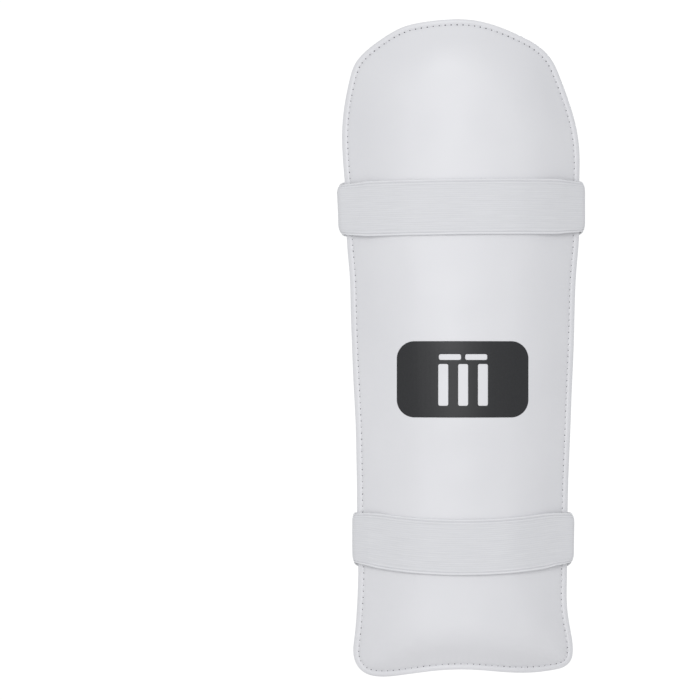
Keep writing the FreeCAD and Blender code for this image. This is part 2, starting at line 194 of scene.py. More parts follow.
def edge_distance(x, z):
    """Distance from points to the cut edge in mm, positive inside."""
    p = np.stack([np.ravel(x), np.ravel(z)], 1)
    a = EDGE
    b = np.roll(EDGE, -1, 0)
    d = b - a
    dd = (d * d).sum(1)
    out = np.empty(len(p))
    inside = np.empty(len(p), bool)
    for lo in range(0, len(p), 4000):
        q = p[lo:lo + 4000]
        rel = q[:, None, :] - a[None]
        k = np.clip((rel * d[None]).sum(2) / dd[None], 0, 1)
        e = rel - k[:, :, None] * d[None]
        out[lo:lo + 4000] = np.sqrt((e * e).sum(2).min(1))
        cross = (a[None, :, 1] > q[:, None, 1]) != (b[None, :, 1] > q[:, None, 1])
        with np.errstate(divide="ignore", invalid="ignore"):
            xi = d[None, :, 0] * (q[:, None, 1] - a[None, :, 1]) / d[None, :, 1] + a[None, :, 0]
        inside[lo:lo + 4000] = (cross & (q[:, None, 0] < xi)).sum(1) % 2 == 1
    return np.where(inside, out, -out).reshape(np.shape(x))


HW_Z = [-230, -190, -150, -90, -20, 60, 110, 150, 270]
HW_W = [76.5, 75.0, 72.6, 72.8, 74.8, 78.0, 81.0, 81.6, 81.6]


def half_width(z):
    z = np.asarray(z, float)
    i = np.clip(np.searchsorted(HW_Z, z) - 1, 0, len(HW_Z) - 2)
    za, zb = np.take(HW_Z, i), np.take(HW_Z, i + 1)
    wa, wb = np.take(HW_W, i), np.take(HW_W, i + 1)
    return wa + (wb - wa) * smooth((z - za) / (zb - za))


def arch(x, z):
    return 24.0 * (x / half_width(z)) ** 2


def shoulder(z):
    """Length of the foam's taper in mm: long at the sides, short at the ends."""
    return 22.0 + 20.0 * smooth((z + 196.0) / 70.0) - 10.0 * smooth((z - 165.0) / 60.0)


def foam_rise(x, z, d):
    """0 under the seam, 1 where the foam is full: a soft shoulder."""
    soft = d + (look(GDS, x, z) - d) * smooth((d - 5.0) / 16.0)
    u = np.clip((soft - INSET) / shoulder(z), 0, 1)
    return 0.42 * smooth(u) + 0.58 * (1 - (1 - u) ** 2.2)


GX = np.arange(-90.0, 90.01, 1.0)
GZ = np.arange(-216.0, 252.01, 1.0)
gx, gz = np.meshgrid(GX, GZ, indexing="ij")
GD = edge_distance(gx.ravel(), gz.ravel()).reshape(gx.shape)


def blurred(g, sigma):
    """The grid after a soft blur, so that no crease runs out of a corner."""
    k = np.exp(-0.5 * (np.arange(-3 * sigma, 3 * sigma + 1) / sigma) ** 2)
    k /= k.sum()
    h = len(k) // 2
    p = np.pad(g, ((h, h), (0, 0)), mode="edge")
    out = sum(w * p[i:i + g.shape[0]] for i, w in enumerate(k))
    p = np.pad(out, ((0, 0), (h, h)), mode="edge")
    return sum(w * p[:, i:i + g.shape[1]] for i, w in enumerate(k))


GDS = blurred(GD, 8)


def look(grid, x, z):
    """Value of a grid over the pad at points (x, z)."""
    fx = np.clip((np.asarray(x) - GX[0]) / 1.0, 0, len(GX) - 1.001)
    fz = np.clip((np.asarray(z) - GZ[0]) / 1.0, 0, len(GZ) - 1.001)
    i, j = fx.astype(int), fz.astype(int)
    a, b = fx - i, fz - j
    return ((1 - a) * (1 - b) * grid[i, j] + a * (1 - b) * grid[i + 1, j]
            + (1 - a) * b * grid[i, j + 1] + a * b * grid[i + 1, j + 1])


def face_y(x, z, d):
    """Outer surface of the face cover, without its fine detail."""
    r = foam_rise(x, z, d)
    stack = 1.6 + 0.3 + (0.4 + 2.0 * r) + 0.3 + (0.9 + 8.1 * r) + 0.3 + 0.9
    return arch(x, z) - stack


# ---------------------------------------------------- rings that fill the pad


def ring_mesh(count, near, inner, last=0.02):
    """Points in (x, z) that fill the outline: rings at the given distances
    from the edge, then rings that shrink to the middle line."""
    c = periodic_spline(OUTLINE, count)
    t = np.roll(c, -2, 0) - np.roll(c, 2, 0)
    t /= np.linalg.norm(t, axis=1)[:, None]
    nrm = np.stack([t[:, 1], -t[:, 0]], 1)
    rings = [c + nrm * d for d in near]
    q = rings[-1]
    # below the top of the foot's hollow the rings shrink to one point
    foot = (q[:, 1] < -150) & (np.abs(q[:, 0]) < 45)
    z_b = float(q[foot, 1].max()) + 1.0
    s = np.stack([np.zeros(count), 0.62 * np.maximum(q[:, 1], z_b)], 1)
    for lam in inner:
        rings.append(s + (last + (1 - last) * lam) * (q - s))
    low = np.where(q[:, 1] < z_b)[0]
    level = 0.62 * z_b + last * 0.38 * z_b
    rings[-1][low, 1] = level - 20.0 * last * np.sin(np.pi * np.linspace(0, 1, len(low)))
    return np.array(rings), nrm


def ring_faces(n_rings, count, cap=True, start=0, flip=False):
    faces = []
    for r in range(n_rings - 1):
        for i in range(count):
            j = (i + 1) % count
            a, b = start + r * count + i, start + r * count + j
            c, d = a + count, b + count
            faces.append((a, b, d, c))
    if cap:
        base = start + (n_rings - 1) * count
        # the last ring is a thin loop along the middle line: bridge its sides
        i, j = 0, count - 1
        while j - i > 2:
            faces.append((base + i, base + i + 1, base + j - 1, base + j))
            i += 1
            j -= 1
        if j - i == 2:
            faces.append((base + i, base + i + 1, base + j))
    if flip:
        faces = [tuple(reversed(f)) for f in faces]
    return faces


def spaced(n, power=1.0):
    return [(1 - (k / n)) ** power for k in range(1, n + 1)]


# ------------------------------------------------------------------ materials


def new_mat(name):
    m = bpy.data.materials.new(name)
    m.use_nodes = True
    nt = m.node_tree
    bsdf = next(n for n in nt.nodes if n.type == "BSDF_PRINCIPLED")
    return m, nt, bsdf


def node(nt, kind, **values):
    n = nt.nodes.new(kind)
    for k, v in values.items():
        if k in n.inputs:
            n.inputs[k].default_value = v
        else:
            setattr(n, k, v)
    return n


def set_in(bsdf, **kw):
    names = {"rough": "Roughness", "sheen": "Sheen Weight", "sheen_rough": "Sheen Roughness",
             "spec": "Specular IOR Level", "coat": "Coat Weight", "coat_rough": "Coat Roughness",
             "sss": "Subsurface Weight", "metal": "Metallic"}
    for k, v in kw.items():
        bsdf.inputs[names[k]].default_value = v


def colour_mix(nt, fac_out, lo, hi, target, low=0.0, high=1.0):
    ramp = nt.nodes.new("ShaderNodeValToRGB")
    ramp.color_ramp.elements[0].position = low
    ramp.color_ramp.elements[1].position = high
    ramp.color_ramp.elements[0].color = (*lo, 1)
    ramp.color_ramp.elements[1].color = (*hi, 1)
    nt.links.new(fac_out, ramp.inputs["Fac"])
    nt.links.new(ramp.outputs["Color"], target)
    return ramp


def mat_cover():
    m, nt, b = new_mat("cover_skin")
    set_in(b, rough=0.44, spec=0.5, coat=0.12, coat_rough=0.42)
    tc = node(nt, "ShaderNodeTexCoord")
    broad = node(nt, "ShaderNodeTexNoise", Scale=16.0, Detail=3.0, Roughness=0.5)
    nt.links.new(tc.outputs["Object"], broad.inputs["Vector"])
    colour_mix(nt, broad.outputs["Fac"], (0.776, 0.774, 0.797), (0.804, 0.801, 0.822),
               b.inputs["Base Color"], 0.3, 0.7)
    grain = node(nt, "ShaderNodeTexVoronoi", Scale=1500.0)
    grain.feature = "SMOOTH_F1"
    fine = node(nt, "ShaderNodeTexNoise", Scale=700.0, Detail=4.0, Roughness=0.6)
    nt.links.new(tc.outputs["Object"], grain.inputs["Vector"])
    nt.links.new(tc.outputs["Object"], fine.inputs["Vector"])
    mix = node(nt, "ShaderNodeMath", operation="ADD")
    nt.links.new(grain.outputs["Distance"], mix.inputs[0])
    nt.links.new(fine.outputs["Fac"], mix.inputs[1])
    bump = node(nt, "ShaderNodeBump", Strength=0.22, Distance=0.00006)
    nt.links.new(mix.outputs[0], bump.inputs["Height"])
    nt.links.new(bump.outputs["Normal"], b.inputs["Normal"])
    rr = node(nt, "ShaderNodeMapRange")
    rr.inputs["To Min"].default_value = 0.42
    rr.inputs["To Max"].default_value = 0.52
    nt.links.new(broad.outputs["Fac"], rr.inputs["Value"])
    nt.links.new(rr.outputs["Result"], b.inputs["Roughness"])
    return m


def mat_towel():
    m, nt, b = new_mat("towel_terry")
    set_in(b, rough=0.95, spec=0.12, sheen=0.30, sheen_rough=0.5)
    tc = node(nt, "ShaderNodeTexCoord")
    curl = node(nt, "ShaderNodeTexNoise", Scale=430.0, Detail=3.0, Roughness=0.55, Distortion=1.6)
    fine = node(nt, "ShaderNodeTexNoise", Scale=1500.0, Detail=4.0, Roughness=0.65, Distortion=0.6)
    loops = node(nt, "ShaderNodeTexVoronoi", Scale=760.0, Randomness=1.0)
    loops.feature = "SMOOTH_F1"
    broad = node(nt, "ShaderNodeTexNoise", Scale=38.0, Detail=3.0, Roughness=0.5)
    for n in (loops, curl, fine, broad):
        nt.links.new(tc.outputs["Object"], n.inputs["Vector"])
    ridge = node(nt, "ShaderNodeMath", operation="SUBTRACT")
    ridge.inputs[1].default_value = 0.5
    nt.links.new(curl.outputs["Fac"], ridge.inputs[0])
    ab = node(nt, "ShaderNodeMath", operation="ABSOLUTE")
    nt.links.new(ridge.outputs[0], ab.inputs[0])
    loop_height_and_shade = node(nt, "ShaderNodeMath", operation="MULTIPLY_ADD")
    loop_height_and_shade.inputs[1].default_value = -5.0
    loop_height_and_shade.inputs[2].default_value = 1.0
    nt.links.new(ab.outputs[0], loop_height_and_shade.inputs[0])
    # base colour: a broad random tone, plus painted shade: the loop pattern that raises the bump also makes the colour
    # darker in the hollows between the loops and lighter on their tops
    tone_and_painted_shade = node(nt, "ShaderNodeMath", operation="MULTIPLY_ADD")
    tone_and_painted_shade.inputs[1].default_value = 0.9
    nt.links.new(broad.outputs["Fac"], tone_and_painted_shade.inputs[0])
    nt.links.new(loop_height_and_shade.outputs[0], tone_and_painted_shade.inputs[2])
    colour_mix(nt, tone_and_painted_shade.outputs[0], (0.806, 0.809, 0.826), (0.901, 0.902, 0.913),
               b.inputs["Base Color"], 0.2, 1.45)
    h1 = node(nt, "ShaderNodeMath", operation="MULTIPLY_ADD")
    h1.inputs[1].default_value = -0.55
    nt.links.new(loops.outputs["Distance"], h1.inputs[0])
    nt.links.new(loop_height_and_shade.outputs[0], h1.inputs[2])
    h2 = node(nt, "ShaderNodeMath", operation="MULTIPLY_ADD")
    h2.inputs[1].default_value = 0.6
    nt.links.new(fine.outputs["Fac"], h2.inputs[0])
    nt.links.new(h1.outputs[0], h2.inputs[2])
    bump = node(nt, "ShaderNodeBump", Strength=0.75, Distance=0.00042)
    nt.links.new(h2.outputs[0], bump.inputs["Height"])
    nt.links.new(bump.outputs["Normal"], b.inputs["Normal"])
    return m


def mat_elastic():
    m, nt, b = new_mat("elastic_weave")
    set_in(b, rough=0.82, spec=0.15, sheen=0.42, sheen_rough=0.5)
    along = node(nt, "ShaderNodeAttribute", attribute_name="along")
    across = node(nt, "ShaderNodeAttribute", attribute_name="across")

    def wave(src, per_mm, phase=0.0):
        k = node(nt, "ShaderNodeMath", operation="MULTIPLY_ADD")
        k.inputs[1].default_value = per_mm * 2 * math.pi
        k.inputs[2].default_value = phase
        nt.links.new(src, k.inputs[0])
        s = node(nt, "ShaderNodeMath", operation="SINE")
        nt.links.new(k.outputs[0], s.inputs[0])
        return s.outputs[0]

    rib = wave(across.outputs["Fac"], 1.0 / 1.42)
    weft = wave(along.outputs["Fac"], 1.0 / 0.62)
    # streaks that run a few centimetres along the band
    comb = node(nt, "ShaderNodeCombineXYZ")
    la = node(nt, "ShaderNodeMath", operation="MULTIPLY")
    la.inputs[1].default_value = 0.045
    lc = node(nt, "ShaderNodeMath", operation="MULTIPLY")
    lc.inputs[1].default_value = 0.95
    nt.links.new(along.outputs["Fac"], la.inputs[0])
    nt.links.new(across.outputs["Fac"], lc.inputs[0])
    nt.links.new(la.outputs[0], comb.inputs[0])
    nt.links.new(lc.outputs[0], comb.inputs[1])
    streak = node(nt, "ShaderNodeTexNoise", Scale=1.0, Detail=4.0, Roughness=0.6)
    nt.links.new(comb.outputs[0], streak.inputs["Vector"])
    sk = node(nt, "ShaderNodeMapRange")
    sk.inputs["From Min"].default_value = 0.3
    sk.inputs["From Max"].default_value = 0.7
    sk.inputs["To Min"].default_value = -1.0
    sk.inputs["To Max"].default_value = 1.0
    nt.links.new(streak.outputs["Fac"], sk.inputs["Value"])
    ribs = node(nt, "ShaderNodeMath", operation="MULTIPLY")
    ribs.inputs[1].default_value = 0.55
    nt.links.new(rib, ribs.inputs[0])
    prod = node(nt, "ShaderNodeMath", operation="MULTIPLY_ADD")
    prod.inputs[1].default_value = 0.35
    nt.links.new(weft, prod.inputs[0])
    nt.links.new(ribs.outputs[0], prod.inputs[2])
    add = node(nt, "ShaderNodeMath", operation="MULTIPLY_ADD")
    add.inputs[1].default_value = 1.0
    nt.links.new(sk.outputs["Result"], add.inputs[0])
    nt.links.new(prod.outputs[0], add.inputs[2])
    tc = node(nt, "ShaderNodeTexCoord")
    fuzz = node(nt, "ShaderNodeTexNoise", Scale=2200.0, Detail=3.0, Roughness=0.6)
    nt.links.new(tc.outputs["Object"], fuzz.inputs["Vector"])
    add2 = node(nt, "ShaderNodeMath", operation="ADD")
    nt.links.new(add.outputs[0], add2.inputs[0])
    nt.links.new(fuzz.outputs["Fac"], add2.inputs[1])
    bump = node(nt, "ShaderNodeBump", Strength=0.35, Distance=0.00006)
    nt.links.new(add2.outputs[0], bump.inputs["Height"])
    nt.links.new(bump.outputs["Normal"], b.inputs["Normal"])
    # colour: random streaks along the band, plus painted highlight and shade: lighter on the ridges of the woven edge
    # and darker in its grooves, from the selvedge attribute that follows the relief of the band's section, and darker
    # in the grooves of the ribs and weft that also make the bump
    selvedge_shade_attr = node(nt, "ShaderNodeAttribute", attribute_name="selvedge")
    streaks_and_painted_shade = node(nt, "ShaderNodeMath", operation="MULTIPLY_ADD")
    streaks_and_painted_shade.inputs[1].default_value = 3.2
    nt.links.new(selvedge_shade_attr.outputs["Fac"], streaks_and_painted_shade.inputs[0])
    nt.links.new(add.outputs[0], streaks_and_painted_shade.inputs[2])
    tone_and_painted_shade = node(nt, "ShaderNodeMapRange")
    tone_and_painted_shade.inputs["From Min"].default_value = -3.6
    tone_and_painted_shade.inputs["From Max"].default_value = 3.6
    nt.links.new(streaks_and_painted_shade.outputs[0], tone_and_painted_shade.inputs["Value"])
    colour_mix(nt, tone_and_painted_shade.outputs["Result"], (0.668, 0.669, 0.692), (0.826, 0.827, 0.846),
               b.inputs["Base Color"], 0.05, 0.95)
    return m


def mat_plain(name, colour, rough, spec=0.3, sheen=0.0, scale=900.0, bump_mm=0.03, spread=0.03):
    m, nt, b = new_mat(name)
    set_in(b, rough=rough, spec=spec, sheen=sheen)
    tc = node(nt, "ShaderNodeTexCoord")
    n1 = node(nt, "ShaderNodeTexNoise", Scale=scale, Detail=4.0, Roughness=0.6)
    nt.links.new(tc.outputs["Object"], n1.inputs["Vector"])
    lo = tuple(max(0.0, c - spread) for c in colour)
    hi = tuple(min(1.0, c + spread) for c in colour)
    colour_mix(nt, n1.outputs["Fac"], lo, hi, b.inputs["Base Color"], 0.3, 0.7)
    bump = node(nt, "ShaderNodeBump", Strength=0.5, Distance=bump_mm * MM)
    nt.links.new(n1.outputs["Fac"], bump.inputs["Height"])
    nt.links.new(bump.outputs["Normal"], b.inputs["Normal"])
    return m


M_COVER = mat_cover()
M_TOWEL = mat_towel()
M_ELASTIC = mat_elastic()
M_FOAM = mat_plain("foam_cells", (0.80, 0.80, 0.775), 0.9, 0.2, 0.1, 1400.0, 0.12, 0.05)
M_FOAM2 = mat_plain("foam_soft", (0.84, 0.83, 0.79), 0.95, 0.1, 0.1, 1100.0, 0.16, 0.05)
M_THREAD = mat_plain("thread_white", (0.80, 0.80, 0.815), 0.6, 0.3, 0.15, 2600.0, 0.05, 0.05)
# the needle holes' dark colour is painted shade, standing in for the shadow inside each hole
M_HOLE_SHADE = mat_plain("needle_hole_painted_shade", (0.17, 0.17, 0.185), 0.95, 0.05, 0.0, 900.0, 0.02, 0.02)
M_LABEL = mat_plain("label_satin", (0.93, 0.93, 0.935), 0.42, 0.45, 0.25, 1700.0, 0.03, 0.02)
M_INK = mat_plain("label_ink", (0.05, 0.05, 0.055), 0.6, 0.3, 0.0, 2400.0, 0.01, 0.02)
M_BADGE = mat_plain("badge_film", (0.0215, 0.0220, 0.0240), 0.44, 0.42, 0.0, 1300.0, 0.012, 0.004)

# ------------------------------------------------------------- face cover skin
N = STITCHES * 6
SEAM_C = periodic_spline(OUTLINE, N)


def seam_phase(count):
    """Stitch phase, 0 to 1 between needle holes, round the outline."""
    return (np.arange(count) * STITCHES / count) % 1.0


STRAP_Z = (114.6, -115.0)
TRAVEL = {114.6: (-35.0, 8.0), -115.0: (-15.0, 20.0)}      # how far each loop slides, mm


def pressed(x, z):
    """1 where an elastic loop bears on the face anywhere in its travel."""
    out = np.zeros(np.shape(x))
    for mid in STRAP_Z:
        low, high = TRAVEL[mid]
        past = np.maximum(mid + low - 19.0 - z, z - mid - high - 19.0)
        out = np.maximum(out, smooth((9.0 - past) / 11.0))
    return out * (0.45 + 0.55 * smooth((np.abs(x) - 12.0) / 45.0))


def simulate_crown():
    """Blows the face up like a cushion: the cover is held all round its seam
    and pressed down by the two elastic loops. Gives a grid of the rise."""
    cnt = 136
    nr_, ni_ = [INSET, 6.0, 9.5, 14.0, 19.0], 12
    rg, _ = ring_mesh(cnt, nr_, [1 - k / ni_ for k in range(1, ni_ + 1)], 0.06)
    fl = rg.reshape(-1, 2)
    dd = np.maximum(look(GD, fl[:, 0], fl[:, 1]), 0)
    fy = face_y(fl[:, 0], fl[:, 1], dd) + 0.5 * pressed(fl[:, 0], fl[:, 1]) * smooth((dd - 6) / 12)
    by = arch(fl[:, 0], fl[:, 1]) - 1.9
    n = len(fl)
    vs = np.vstack([np.stack([fl[:, 0], fy, fl[:, 1]], 1), np.stack([fl[:, 0], by, fl[:, 1]], 1)]) * MM
    fc = ring_faces(len(rg), cnt) + ring_faces(len(rg), cnt, start=n, flip=True)
    fc += [((i + 1) % cnt, i, n + i, n + (i + 1) % cnt) for i in range(cnt)]
    body = mesh_object("crown_source", vs, fc)
    outward(body)
    grp = body.vertex_groups.new(name="held")
    hold = list(range(n, 2 * n)) + list(range(cnt))
    grp.add(hold, 1.0, "REPLACE")
    for i in range(cnt, n):
        w = 0.92 * float(pressed(fl[i:i + 1, 0], fl[i:i + 1, 1])[0])
        if w > 0.02:
            grp.add([i], w, "REPLACE")
    md = body.modifiers.new("cloth", "CLOTH")
    st = md.settings
    st.quality = 5
    st.mass = 0.25
    st.tension_stiffness = st.compression_stiffness = 18.0
    st.shear_stiffness = 8.0
    st.bending_stiffness = 0.6
    st.use_pressure = True
    st.uniform_pressure_force = 4.0
    st.vertex_group_mass = "held"
    st.pin_stiffness = 6.0
    st.effector_weights.gravity = 0.0
    st.shrink_min = -0.015
    md.collision_settings.use_collision = False
    md.collision_settings.use_self_collision = False
    sc = bpy.context.scene
    md.point_cache.frame_start = 1
    md.point_cache.frame_end = 20
    for f in range(1, 21):
        sc.frame_set(f)
    dg = bpy.context.evaluated_depsgraph_get()
    got = body.evaluated_get(dg).to_mesh()
    co = np.empty(len(got.vertices) * 3)
    got.vertices.foreach_get("co", co)
    body.evaluated_get(dg).to_mesh_clear()
    co = co.reshape(-1, 3)[:n] / MM
    rise = vs[:n, 1] / MM - co[:, 1]
    bpy.data.objects.remove(body, do_unlink=True)
    sc.frame_set(1)
    print("CROWN raw mm", round(float(rise.min()), 2), round(float(rise.max()), 2), round(float(rise.mean()), 2))
    top = max(float(np.percentile(rise, 99)), 1e-6)
    rise = np.clip(rise, -0.6, None) * min(1.0, 2.2 / top)
    rise = np.clip(rise, -0.6, 2.4)
    from mathutils.kdtree import KDTree
    kd = KDTree(n)
    for i in range(n):
        kd.insert((co[i, 0], 0.0, co[i, 2]), i)
    kd.balance()
    coarse_x = np.arange(-90.0, 90.01, 3.0)
    coarse_z = np.arange(-216.0, 252.01, 3.0)
    g = np.zeros((len(coarse_x), len(coarse_z)))
    for a, x in enumerate(coarse_x):
        for b, z in enumerate(coarse_z):
            tot = val = 0.0
            for c, i, dist in kd.find_n((x, 0.0, z), 8):
                w = 1.0 / (dist * dist + 4.0)
                tot += w
                val += w * rise[i]
            g[a, b] = val / tot
    for _ in range(26):
        p = np.pad(g, 1, mode="edge")
        g = (4 * p[1:-1, 1:-1] + p[:-2, 1:-1] + p[2:, 1:-1] + p[1:-1, :-2] + p[1:-1, 2:]) / 8.0
    fx = np.clip((GX[:, None] + 90.0) / 3.0, 0, len(coarse_x) - 1.001)
    fz = np.clip((GZ[None, :] + 216.0) / 3.0, 0, len(coarse_z) - 1.001)
    i, j = fx.astype(int), fz.astype(int)
    a, b = fx - i, fz - j
    a, b = smooth(a) * 0.5 + a * 0.5, smooth(b) * 0.5 + b * 0.5
    return (1 - a) * (1 - b) * g[i, j] + a * (1 - b) * g[i + 1, j] + (1 - a) * b * g[i, j + 1] + a * b * g[i + 1, j + 1]


RISE = simulate_crown()


def crown(x, z):
    """Rise of the face over its plain shape in mm: the simulated crown and
    the slow unevenness of a hand-laid foam."""
    d = look(GD, x, z)
    p = np.stack([x / 58.0, z / 74.0], 1)
    q = np.stack([x / 24.0, z / 60.0], 1)
    uneven = 0.52 * fractal(p, 2, 5) + 0.20 * value_noise(q, 9)
    # the face dents a little along the lower edge of each loop
    dent = np.zeros(np.shape(x))
    for mid in STRAP_Z:
        dent += np.exp(-((z - mid + 21.0) / 5.0) ** 2) + 0.7 * np.exp(-((z - mid - 21.0) / 5.0) ** 2)
    dent *= 0.25 * smooth((np.abs(x) - 20.0) / 40.0)
    return (look(RISE, x, z) + uneven - dent) * smooth((d - INSET - 0.5) / 14.0)


near = [0.0, 0.12, 0.4, 0.9, 1.5, 2.1, 2.7, 3.2, 3.55, 3.8, 4.05, 4.4, 4.9, 5.6, 6.4]
inner = [1 - k / 26.0 for k in range(1, 27)]
rings, nrm = ring_mesh(N, near, inner)
R = len(rings)
flat = rings.reshape(-1, 2)
D = np.maximum(look(GD, flat[:, 0], flat[:, 1]), 0)
for r, dist in enumerate(near):          # the near rings are exact
    D[r * N:(r + 1) * N] = dist
Y = face_y(flat[:, 0], flat[:, 1], D)
phase = np.tile(seam_phase(N), R)
hole = 0.5 + 0.5 * np.cos(2 * np.pi * phase)         # 1 at a needle hole
groove = np.exp(-((D - INSET) / 0.95) ** 2)
pinch = np.exp(-((D - INSET) / 0.55) ** 2)
Y += 0.38 * groove + 0.32 * pinch * hole ** 2
# the skin rises between the seam and the edge, and rounds over at the cut
Y -= 0.30 * np.exp(-((D - 2.0) / 1.0) ** 2)
Y += 0.62 * np.clip(1 - D / 0.55, 0, 1) ** 2
# puckers run in from the needle holes over the first few millimetres
Y += 0.10 * hole * np.exp(-((D - 5.5) / 2.4) ** 2)
Y -= crown(flat[:, 0], flat[:, 1])
face_xyz = np.stack([flat[:, 0], Y, flat[:, 1]], 1)
COVER_T = 0.9
under = face_xyz.copy()
under[:, 1] += COVER_T - 0.62 * np.clip(1 - D / 0.55, 0, 1) ** 2 * 0.6
verts = np.vstack([face_xyz, under]) * MM
faces = ring_faces(R, N) + ring_faces(R, N, start=R * N, flip=True)
for i in range(N):
    j = (i + 1) % N
    faces.append((j, i, R * N + i, R * N + j))
cover = mesh_object("face_cover_skin", verts, faces)
outward(cover)
cover.data.materials.append(M_COVER)
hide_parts("face_cover")
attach(cover, "pad")

# a lookup of the finished face for the pieces that lie on it
GY = (face_y(gx.ravel(), gz.ravel(), np.maximum(GD.ravel(), 0)) - crown(gx.ravel(), gz.ravel())).reshape(gx.shape)


# ------------------------------------------------------------------- foam core


def sheet_between(name, top, bottom, count, near_d, n_inner, mat, inset, bulge):
    """Closed sheet of foam between two depth functions of (x, z, d)."""
    rg, nr = ring_mesh(count, [inset + d for d in near_d], [1 - k / n_inner for k in range(1, n_inner + 1)])
    fl = rg.reshape(-1, 2)
    d = np.maximum(look(GD, fl[:, 0], fl[:, 1]), 0)
    up = np.stack([fl[:, 0], top(fl[:, 0], fl[:, 1], d), fl[:, 1]], 1)
    dn = np.stack([fl[:, 0], bottom(fl[:, 0], fl[:, 1], d), fl[:, 1]], 1)
    nring = len(rg)
    mid = 0.5 * (up[:count] + dn[:count])
    mid[:, [0, 2]] -= nr * bulge * (1 + 0.35 * value_noise(np.stack([np.arange(count) * 0.31, np.zeros(count)], 1), 3))[:, None]
    verts = np.vstack([up, dn, mid]) * MM
    total = nring * count
    faces = ring_faces(nring, count) + ring_faces(nring, count, start=total, flip=True)
    for i in range(count):
        j = (i + 1) % count
        faces.append((j, i, 2 * total + i, 2 * total + j))
        faces.append((2 * total + j, 2 * total + i, total + i, total + j))
    ob = mesh_object(name, verts, faces)
    outward(ob)
    ob.data.materials.append(mat)
    return ob


def stack_y(x, z, d, upto):
    r = foam_rise(x, z, d)
    steps = {"towel": 1.6, "comfort_in": 1.75, "comfort_out": 1.75 + 0.5 + 2.1 * r,
             "impact_in": 1.85 + 0.5 + 2.1 * r}
    return arch(x, z) - steps[upto]


def cover_under(x, z, d):
    return (face_y(x, z, d) + COVER_T + 0.08 + 0.38 * np.exp(-((d - INSET) / 0.95) ** 2)
            - 0.30 * np.exp(-((d - 2.0) / 1.0) ** 2) - crown(x, z))


impact = sheet_between("impact_foam_core", cover_under, lambda x, z, d: stack_y(x, z, d, "impact_in"),
                       STITCHES * 3, [0.0, 0.6, 1.8, 3.4, 5.0, 6.4], 14, M_FOAM, 0.22, 0.16)
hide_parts("impact_foam")
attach(impact, "pad")
comfort = sheet_between("comfort_foam_sheet", lambda x, z, d: stack_y(x, z, d, "comfort_out"),
                        lambda x, z, d: stack_y(x, z, d, "comfort_in"),
                        STITCHES * 3, [0.0, 0.6, 1.8, 3.4, 5.0, 6.4], 14, M_FOAM2, 0.30, 0.12)
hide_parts("comfort_foam")
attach(comfort, "pad")

# ------------------------------------------------------------ towelling liner
NT = STITCHES * 5
near_t = [0.0, 0.25, 0.8, 1.5, 2.2, 2.9, 3.4, 3.8, 4.2, 4.8, 5.5, 6.3]
inner_t = [1 - k / 78.0 for k in range(1, 79)]
rt, nrt = ring_mesh(NT, near_t, inner_t)
ft = rt.reshape(-1, 2)
dt = np.maximum(look(GD, ft[:, 0], ft[:, 1]), 0)
for r, dist in enumerate(near_t):
    dt[r * NT:(r + 1) * NT] = dist
yt = arch(ft[:, 0], ft[:, 1])
wx = ft[:, 0] + 1.2 * value_noise(ft / 3.1, 31)
wz = ft[:, 1] + 1.2 * value_noise(ft / 3.3, 32)
worms = 1.0 - 1.9 * np.abs(value_noise(np.stack([wx / 2.1, wz / 2.5], 1), 21))
worms2 = 1.0 - 1.9 * np.abs(value_noise(np.stack([wx / 3.3 + 5.0, wz / 2.9], 1), 27))
curls = np.maximum(worms, worms2 * 0.9)
pile = (0.25 * curls
        + 0.22 * value_noise(np.stack([ft[:, 0] / 3.4, ft[:, 1] / 3.9], 1), 22)
        + 0.24 * value_noise(np.stack([ft[:, 0] / 9.0, ft[:, 1] / 11.0], 1), 23)
        + 0.35 * fractal(np.stack([ft[:, 0] / 46.0, ft[:, 1] / 60.0], 1), 2, 24))
holet = 0.5 + 0.5 * np.cos(2 * np.pi * np.tile(seam_phase(NT) + 0.0, len(rt)))
seam_dip = np.exp(-((dt - INSET) / 0.9) ** 2)
yt = yt + pile * smooth(dt / 1.2) * (1 - 0.6 * seam_dip) * (0.40 + 0.60 * smooth((dt - 2.5) / 5.0))
# the comfort foam rolls up along one side and lies thin along the other
yt += np.exp(-((dt - 28.0) / 12.0) ** 2) * (0.2 + 0.8 * np.tanh(ft[:, 0] / 22.0)) * smooth(np.abs(ft[:, 0]) / 40.0)
yt -= (0.60 + 0.20 * holet) * seam_dip
yt -= 0.55 * np.clip(1 - dt / 0.8, 0, 1) ** 2
top = np.stack([ft[:, 0], yt, ft[:, 1]], 1)
ru, _ = ring_mesh(NT, [0.0, 3.0, 6.3], [0.75, 0.5, 0.25, 0.0])
fu = ru.reshape(-1, 2)
bot = np.stack([fu[:, 0], arch(fu[:, 0], fu[:, 1]) - 1.55, fu[:, 1]], 1)
verts = np.vstack([top, bot]) * MM
RT, RU = len(rt), len(ru)
faces = ring_faces(RT, NT, flip=True) + ring_faces(RU, NT, start=RT * NT)
for i in range(NT):
    j = (i + 1) % NT
    faces.append((i, j, RT * NT + j, RT * NT + i))
liner = mesh_object("towelling_liner", verts, faces)
outward(liner)
liner.data.materials.append(M_TOWEL)
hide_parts("towel_liner")
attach(liner, "pad")

# ------------------------------------------------------------------ edge seam
# The top thread dives into a needle hole at each end of a stitch.


